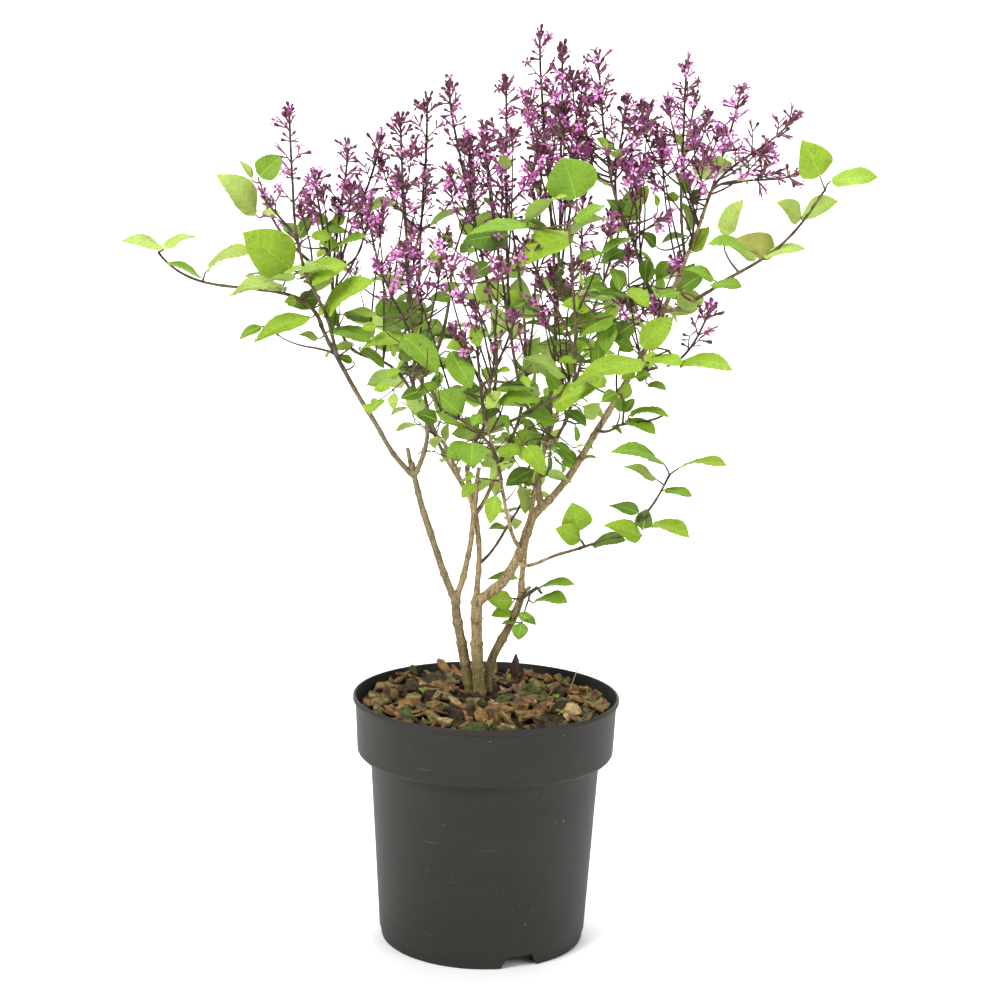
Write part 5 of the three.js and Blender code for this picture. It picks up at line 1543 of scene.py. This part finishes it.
def add_hand_leaves(plant, heaps):
    """The leaves that are set one by one, each on a stalk from the nearest twig."""
    for number, (root, tip, width, face, tone) in enumerate(HAND_LEAVES):
        run = Run(5000 + number)
        heap = heaps["leaves_left" if root[0] < 15 else "leaves_right"]
        root, tip, face = (np.array(spot, float) for spot in (root, tip, face))
        length = np.linalg.norm(tip - root)
        along = (tip - root) / length
        face = unit(face - along * face.dot(along))
        foot = nearest(plant["wood"], root)
        span = np.linalg.norm(root - foot)
        stalk = Path(foot, root - along * min(0.45 * span, 10) - UP * 0.1 * span, root)
        thick = between((0.75, 1.15), min(1, span / 30))
        shares = np.linspace(0, 1, 7)
        add_tube(heap, stalk.at(shares), between((thick, 0.6), shares), 5, PETIOLE)
        add_blade(heap, root, along, face, length, width / length, run.pick(0.3, 0.9), run.pick(0.08, 0.35),
                  run.pick(0.015, 0.04), (tone, RIB, UNDERSIDE), veins=6, twist=run.pick(-0.5, 0.5),
                  pointed=run.pick(-0.1, 0.8))


def make_leaves(plant, settings):
    """All leaves, in two halves of the bush, each leaf with its stalk, midrib and paler underside."""
    heaps = {"leaves_left": Heap(), "leaves_right": Heap()}
    for number, leaf in enumerate(plant["leaves"]):
        run = Run(1000 + number)
        heap = heaps["leaves_left" if leaf.root[0] < 15 else "leaves_right"]
        stalk = min(9, 0.18 * leaf.size)
        bend = run.pick(0.3, 1.4)
        fold = run.pick(0.05, 0.5)
        width = settings.leaf_width * run.pick(0.86, 1.1)
        tone = leaf_tone(leaf, run)
        base = leaf.root + leaf.along * stalk
        steps = np.linspace(0, 1, 4)[:, None]
        points = leaf.root + steps * (base - leaf.root) + leaf.face * 0.8 * steps * (1 - steps)
        add_tube(heap, points, [0.62, 0.55, 0.5, 0.42], 4, PETIOLE)
        add_blade(heap, base, leaf.along, leaf.face, leaf.size - stalk, width, bend, fold,
                  run.pick(0.01, 0.05), (tone, RIB, UNDERSIDE), veins=5 if leaf.size > 24 else 2,
                  twist=run.pick(-0.9, 0.9), pointed=run.pick(0, 1))
    add_hand_leaves(plant, heaps)
    leaf = tuple(settings.leaf)
    # the sunlit green, its darker copy (partly a darker tone, partly painted shade), its much darker copy
    # (painted shade), the young green and the bronze
    greens = [
        leaf, (leaf[0] * 0.68, leaf[1] * 0.78, leaf[2] * 0.85),
        (leaf[0] * 0.40, leaf[1] * 0.48, leaf[2] * 0.65), (leaf[0] * 1.34, leaf[1] * 1.14, leaf[2] * 3.4),
        (0.30, 0.30, 0.07),
    ]
    materials = [make_leaf_green(name, green) for name, green in zip(LEAF_TONES, greens)]
    materials += [
        mottled("leaf_rib", (0.33, 0.50, 0.07), (0.27, 0.42, 0.05), 150, 0.55, gloss=0.3),
        mottled("leaf_underside", (0.30, 0.44, 0.07), (0.38, 0.52, 0.12), 120, 0.65, gloss=0.25),
        mottled("petiole", (0.15, 0.12, 0.035), (0.060, 0.027, 0.020), 160, 0.6, gloss=0.3),
    ]
    for name, heap in heaps.items():
        heap.make(name, materials, "foliage", list(MASSES))


# ---------------------------------------------------------------- blossom

BLOSSOM_TONES = [
    "petal_orchid", "petal_pale", "petal_deep", "mouth_shade", "floret_tube", "bud_maroon", "flower_stalk",
    "spent_brown",
]
MOUTH_SHADE, TUBE, BUD, STALK, SPENT = 3, 4, 5, 6, 7


def ring_of(radius, height, sides=4, turn=0.0):
    angles = np.arange(sides) / sides * 2 * math.pi + turn
    return np.stack([radius * np.cos(angles), radius * np.sin(angles), np.full(sides, height)], axis=1)


def ring_walls(rings, sides=4):
    return [
        (ring * sides + n, ring * sides + (n + 1) % sides,
         (ring + 1) * sides + (n + 1) % sides, (ring + 1) * sides + n)
        for ring in range(rings - 1) for n in range(sides)
    ]


def open_floret(tube_length, petal, rise, tone):
    """A long tube, its mouth closed by a dark cap of painted shade, with four petals that spread from its
    mouth. rise is how far the petals' ends stand up.
    """
    tube_rings = np.concatenate(
        [ring_of(0.6, 0), ring_of(0.85, tube_length * 0.6), ring_of(1.3, tube_length)])
    vertices, triangles, finishes = [tube_rings], [], []
    walls = ring_walls(3)
    for a, b, c, d in walls:
        triangles += [(a, b, c), (a, c, d)]
        finishes += [TUBE, TUBE]
    # the tube's mouth is closed by a dark cap: painted shade that stands for the shadowed opening of the tube
    triangles += [(8, 9, 10), (8, 10, 11)]
    finishes += [MOUTH_SHADE, MOUTH_SHADE]
    for n in range(4):
        turn = (n + 0.5) * QUARTER_TURN
        out = np.array([math.cos(turn), math.sin(turn), 0])
        side = np.array([-math.sin(turn), math.cos(turn), 0])
        wide = petal * 0.24
        start = len(tube_rings) + n * 6
        spots = [
            out * 1.05 - side * 0.7 + UP * tube_length, out * 1.05 + side * 0.7 + UP * tube_length,
            out * petal * 0.62 - side * wide + UP * (tube_length + rise * 0.6 + 0.45),
            out * petal * 0.62 + side * wide + UP * (tube_length + rise * 0.6 + 0.45),
            out * petal * 0.6 + UP * (tube_length + rise * 0.6 - 0.05),
            out * petal + UP * (tube_length + rise),
        ]
        vertices.append(np.array(spots))
        for corners in ((0, 1, 4), (0, 4, 2), (1, 3, 4), (2, 4, 5), (4, 3, 5)):
            triangles.append(tuple(start + corner for corner in corners))
            finishes.append(tone)
    return np.concatenate(vertices), triangles, finishes


def closed_bud(length, head, tone):
    """An unopened floret: a thin tube that swells to a blunt club."""
    rings = np.concatenate([
        ring_of(0.55, 0), ring_of(0.9, length * 0.55), ring_of(head, length * 0.78),
        ring_of(head * 0.85, length * 0.93),
        [(0, 0, length)],
    ])
    triangles, finishes = [], []
    for a, b, c, d in ring_walls(4):
        triangles += [(a, b, c), (a, c, d)]
        finishes += [TUBE if a < 4 else tone] * 2
    triangles += [(12 + n, 12 + (n + 1) % 4, 16) for n in range(4)]
    return rings, triangles, finishes + [tone] * 4


def floret_frame(direction, roll):
    side, _ = pair_directions(direction, roll)
    return np.stack([side, np.cross(direction, side), direction], axis=1)


class Spray:
    """Gathers the florets of the panicles by kind, and their stalks."""

    def __init__(self, open_share):
        self.open_share = open_share
        self.florets = {}
        self.stalks = Heap()

    def bract(self, place, way, run):
        """A small narrow leaf at a joint of a panicle."""
        length = run.pick(3.5, 8)
        face = unit(UP + run.pick(-0.5, 0.5) * BACK - way * way[2])
        face = unit(face - way * face.dot(way))
        add_blade(self.stalks, place, way, face, length, 0.32, 0.6, 0.3, 0.0, (1, 1, 1), veins=1, pointed=1.0)

    def floret(self, place, direction, run, bud_chance):
        if run() < bud_chance:
            kind = ("bud_small", "bud", "bud", "spent", "spent")[int(run() * 4.999)]
        else:
            kind = ("open_a", "open_b", "open_c", "open_d", "half_a", "half_b")[int(run() * 5.999)]
        row = (place, floret_frame(unit(direction), run.pick(0, math.pi)), run.pick(0.85, 1.15))
        self.florets.setdefault(kind, []).append(row)

    def cluster(self, place, way, count, bud_chance, run, spread):
        """Florets that fan out from one joint."""
        for n in range(count):
            side, _ = pair_directions(way, n * 2.4 + run.pick(0, 1.2))
            spot = place + way * run.pick(-1, 1)
            self.floret(spot, way + side * run.pick(0.45, 1.3) * spread, run, bud_chance)

    def branchlet(self, foot, way, reach, bud_chance, run):
        """A flowering side branch with clusters at its joints and its end."""
        tip = foot + way * reach
        steps = np.linspace(0, 1, 4)[:, None]
        points = foot + steps * (tip - foot) + UP * 0.12 * reach * steps ** 2
        add_tube(self.stalks, points, [0.72, 0.62, 0.55, 0.45], 4, 0)
        joints = round(reach / 8)
        for joint in range(joints):
            place = points[0] + (points[-1] - points[0]) * (joint + 0.6) / (joints + 0.2)
            self.cluster(place, way, 1 + (run() < 0.28), bud_chance, run, 1.2)
        self.cluster(points[-1], unit(way + 0.3 * UP), 2 + (run() < 0.15), bud_chance, run, 0.8)

    def panicle(self, panicle):
        run = Run(panicle.seed)
        path, start = panicle.path, panicle.start
        length = path.length * (1 - start)
        if panicle.scale < 1:
            shares = np.linspace(0, 1, max(5, int(path.length / 5)))
            add_tube(self.stalks, path.at(shares), between((1.0, 0.55), shares), 5, 0)
        opened = self.open_share * panicle.opened
        distance, joint = 3.0, 0
        while distance < length - 5:
            share = distance / length
            spot = start + (1 - start) * share
            place, tangent = path.at(spot), path.along(spot)
            for side in pair_directions(tangent, joint * QUARTER_TURN + run.pick(-0.4, 0.4)):
                reach = between((17, 2.5), share) * panicle.scale * run.pick(0.6, 1.25)
                way = unit(side * run.pick(0.6, 1.0) + tangent * run.pick(0.6, 1.0))
                if run() < 0.35:
                    self.bract(place, unit(side + 0.4 * tangent), run)
                if run() > (0.22 if panicle.scale == 1 else 0.42):
                    self.branchlet(place, way, reach, 1 - opened * (1.25 - 0.6 * share), run)
            distance += between((14, 8.5), share) * run.pick(0.8, 1.25)
            joint += 1
        for back, count, spread in ((5, 4, 0.4), (9, 4, 0.6), (14, 3, 0.9)):
            spot = path.at(1 - back / path.length)
            self.cluster(spot, path.along(1), count, 0.85 - 0.02 * back, run, spread)


def make_blossom(plant, settings):
    """Every panicle: dark stalks, and florets in bud and in flower."""
    spray = Spray(settings.open_share)
    for panicle in plant["panicles"]:
        spray.panicle(panicle)
    tube_length, petal = settings.tube_length, settings.petal_length
    shapes = {
        "open_a": open_floret(tube_length, petal, -0.3, 0),
        "open_b": open_floret(tube_length * 0.9, petal * 1.05, 0.5, 0),
        "open_c": open_floret(tube_length, petal * 0.95, -1.0, 1),
        "open_d": open_floret(tube_length, petal * 1.1, 0.1, 2),
        "half_a": open_floret(tube_length * 0.95, petal * 0.6, 2.4, 0),
        "half_b": open_floret(tube_length, petal * 0.5, 2.8, 2),
        "bud": closed_bud(tube_length * 1.1, 1.6, BUD),
        "bud_small": closed_bud(tube_length * 0.75, 1.25, BUD),
        "spent": closed_bud(tube_length * 0.9, 0.9, SPENT),
    }
    heap = Heap()
    for kind, rows in spray.florets.items():
        places, turns, sizes = zip(*rows)
        heap.add_copies(shapes[kind], np.array(places), np.array(turns), np.array(sizes))
    petal_colour = tuple(settings.petal)
    # the fourth colour, a near-black purple, is the painted shade of the floret's mouth
    colours = [
        (petal_colour, 0.5), ((0.86, 0.46, 0.76), 0.5), ((0.33, 0.050, 0.24), 0.5), ((0.10, 0.01, 0.09), 0.5),
        ((0.25, 0.075, 0.150), 0.55), ((0.078, 0.020, 0.030), 0.5), ((0.050, 0.022, 0.018), 0.65),
        ((0.125, 0.085, 0.042), 0.6),
    ]
    materials = [
        mottled(
            name, shade(colour, 0.85), shade(colour, 1.15), 220, roughness, bump=0.15, depth=0.0002,
            gloss=0.35)
        for name, (colour, roughness) in zip(BLOSSOM_TONES, colours)
    ]
    heap.make("florets", materials, "blossom", list(MASSES))
    bract = mottled("bract", (0.20, 0.24, 0.045), (0.30, 0.30, 0.06), 200, 0.6, gloss=0.3)
    spray.stalks.make("flower_stalks", [materials[STALK], bract], "blossom", list(MASSES))


# ---------------------------------------------------------------- stage


def aim(obj, target):
    obj.rotation_euler = (Vector(target) - obj.location).to_track_quat("-Z", "Y").to_euler()


def make_stage(stage):
    """A pale floor that sweeps up into a backdrop, soft lights and the camera."""
    deselect_all()
    bpy.ops.mesh.primitive_plane_add(size=9, location=(0, 0, 0))
    floor = bpy.context.object
    floor.name = "floor"
    bpy.ops.object.mode_set(mode="EDIT")
    bpy.ops.mesh.select_mode(type="EDGE")
    bpy.ops.mesh.select_all(action="DESELECT")
    bpy.ops.object.mode_set(mode="OBJECT")
    for edge in floor.data.edges:
        edge.select = all(floor.data.vertices[v].co.y > 4 for v in edge.vertices)
    bpy.ops.object.mode_set(mode="EDIT")
    bpy.ops.mesh.extrude_edges_move(TRANSFORM_OT_translate={"value": (0, 0, 5)})
    bpy.ops.mesh.select_all(action="SELECT")
    bpy.ops.object.mode_set(mode="OBJECT")
    for edge in floor.data.edges:
        ends = [floor.data.vertices[v].co for v in edge.vertices]
        edge.select = all(end.y > 4 and end.z < 1 for end in ends)
    bevel = floor.modifiers.new("sweep", "BEVEL")
    bevel.width = 2.0
    bevel.segments = 24
    bpy.ops.object.modifier_apply(modifier=bevel.name)
    bpy.ops.object.shade_smooth()
    colour = tuple(stage.floor)
    floor.data.materials.append(mottled("backdrop", shade(colour, 0.995), colour, 2, 0.9, bump=0.0))

    world = bpy.data.worlds.new("studio")
    world.use_nodes = True
    world.node_tree.nodes["Background"].inputs["Color"].default_value = (1, 1, 1, 1)
    world.node_tree.nodes["Background"].inputs["Strength"].default_value = 0.52
    bpy.context.scene.world = world
    for name, place, size, power in (
        ("key_light", (-1.5, -1.9, 2.2), 1.2, stage.light * 1.5),
        ("fill_light", (2.0, -1.6, 1.3), 1.6, stage.light * 0.5),
        ("top_light", (0.2, 0.4, 2.6), 1.3, stage.light * 0.8),
        ("back_light", (0, 2.2, 3.2), 3.0, stage.light * 3.0),
    ):
        bpy.ops.object.light_add(type="AREA", location=place)
        lamp = bpy.context.object
        lamp.name = name
        lamp.data.shape = "DISK"
        lamp.data.size = size
        lamp.data.energy = power
        aim(lamp, (0, 4.5, 1.2) if name == "back_light" else (0, 0, 0.42))

    deselect_all()
    bpy.ops.object.camera_add(location=tuple(EYE * MM))
    camera = bpy.context.object
    camera.name = "camera"
    camera.data.sensor_width = 36
    camera.data.lens = stage.lens
    camera.matrix_world = (
        Matrix.Translation(camera.location) @ Matrix.Rotation(QUARTER_TURN - LOOK_DOWN, 4, "X")
        @ Matrix.Rotation(LEAN, 4, "Z")
    )
    bpy.context.scene.camera = camera
    bpy.context.scene.view_settings.view_transform = "Standard"


# ---------------------------------------------------------------- operators

PLANT = {}


class LILAC_OT_stage(Operator):
    """Set up the pale floor, the soft lights and the camera"""
    bl_idname = "lilac.stage"
    bl_label = "Stage"

    def execute(self, context):
        make_stage(context.scene.lilac_stage)
        return {"FINISHED"}


class LILAC_OT_pot(Operator):
    """Turn the nursery pot with its collar, rim and foot notches"""
    bl_idname = "lilac.pot"
    bl_label = "Pot"

    def execute(self, context):
        make_pot(context.scene.lilac_pot)
        return {"FINISHED"}


class LILAC_OT_soil(Operator):
    """Fill the pot with compost, and strew bark chips and seedlings over it"""
    bl_idname = "lilac.soil"
    bl_label = "Soil and bark chips"

    def execute(self, context):
        make_soil(context.scene.lilac_pot)
        make_chips(context.scene.lilac_pot)
        make_seedlings()
        return {"FINISHED"}


class LILAC_OT_bark(Operator):
    """Grow the stems and boughs with the relief of their bark"""
    bl_idname = "lilac.bark"
    bl_label = "Stems and boughs"

    def execute(self, context):
        PLANT.update(grow_plant())
        make_bark(PLANT, context.scene.lilac_plant)
        return {"FINISHED"}


class LILAC_OT_twigs(Operator):
    """Grow the twigs on from the tips of the boughs"""
    bl_idname = "lilac.twigs"
    bl_label = "Twigs"

    def execute(self, context):
        make_twigs(PLANT)
        return {"FINISHED"}


class LILAC_OT_leaves(Operator):
    """Set the leaves on the twigs"""
    bl_idname = "lilac.leaves"
    bl_label = "Leaves"

    def execute(self, context):
        make_leaves(PLANT, context.scene.lilac_plant)
        return {"FINISHED"}


class LILAC_OT_blossom(Operator):
    """Set the panicles of florets and buds on the twigs"""
    bl_idname = "lilac.blossom"
    bl_label = "Blossom"

    def execute(self, context):
        make_blossom(PLANT, context.scene.lilac_plant)
        return {"FINISHED"}


class LILAC_PT_panel(Panel):
    """The lilac's settings and the steps that build it"""
    bl_idname = "LILAC_PT_panel"
    bl_label = "Potted Lilac"
    bl_space_type = "VIEW_3D"
    bl_region_type = "UI"
    bl_category = "Lilac"

    def draw(self, context):
        scene = context.scene
        for settings in (scene.lilac_pot, scene.lilac_plant, scene.lilac_stage):
            box = self.layout.box()
            for name in settings.__annotations__:
                box.prop(settings, name)
        for step in STEPS:
            self.layout.operator(step.bl_idname)


STEPS = (
    LILAC_OT_stage, LILAC_OT_pot, LILAC_OT_soil, LILAC_OT_bark, LILAC_OT_twigs, LILAC_OT_leaves,
    LILAC_OT_blossom,
)
CLASSES = (LilacPotSettings, LilacPlantSettings, LilacStageSettings, *STEPS, LILAC_PT_panel)


def register():
    for cls in CLASSES:
        bpy.utils.register_class(cls)
    bpy.types.Scene.lilac_pot = PointerProperty(type=LilacPotSettings)
    bpy.types.Scene.lilac_plant = PointerProperty(type=LilacPlantSettings)
    bpy.types.Scene.lilac_stage = PointerProperty(type=LilacStageSettings)


def unregister():
    del bpy.types.Scene.lilac_pot
    del bpy.types.Scene.lilac_plant
    del bpy.types.Scene.lilac_stage
    for cls in reversed(CLASSES):
        bpy.utils.unregister_class(cls)


def main():
    register()
    bpy.ops.lilac.stage()
    bpy.ops.lilac.pot()
    bpy.ops.lilac.soil()
    bpy.ops.lilac.bark()
    bpy.ops.lilac.twigs()
    bpy.ops.lilac.leaves()
    bpy.ops.lilac.blossom()
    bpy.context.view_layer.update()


if __name__ == "__main__":
    main()
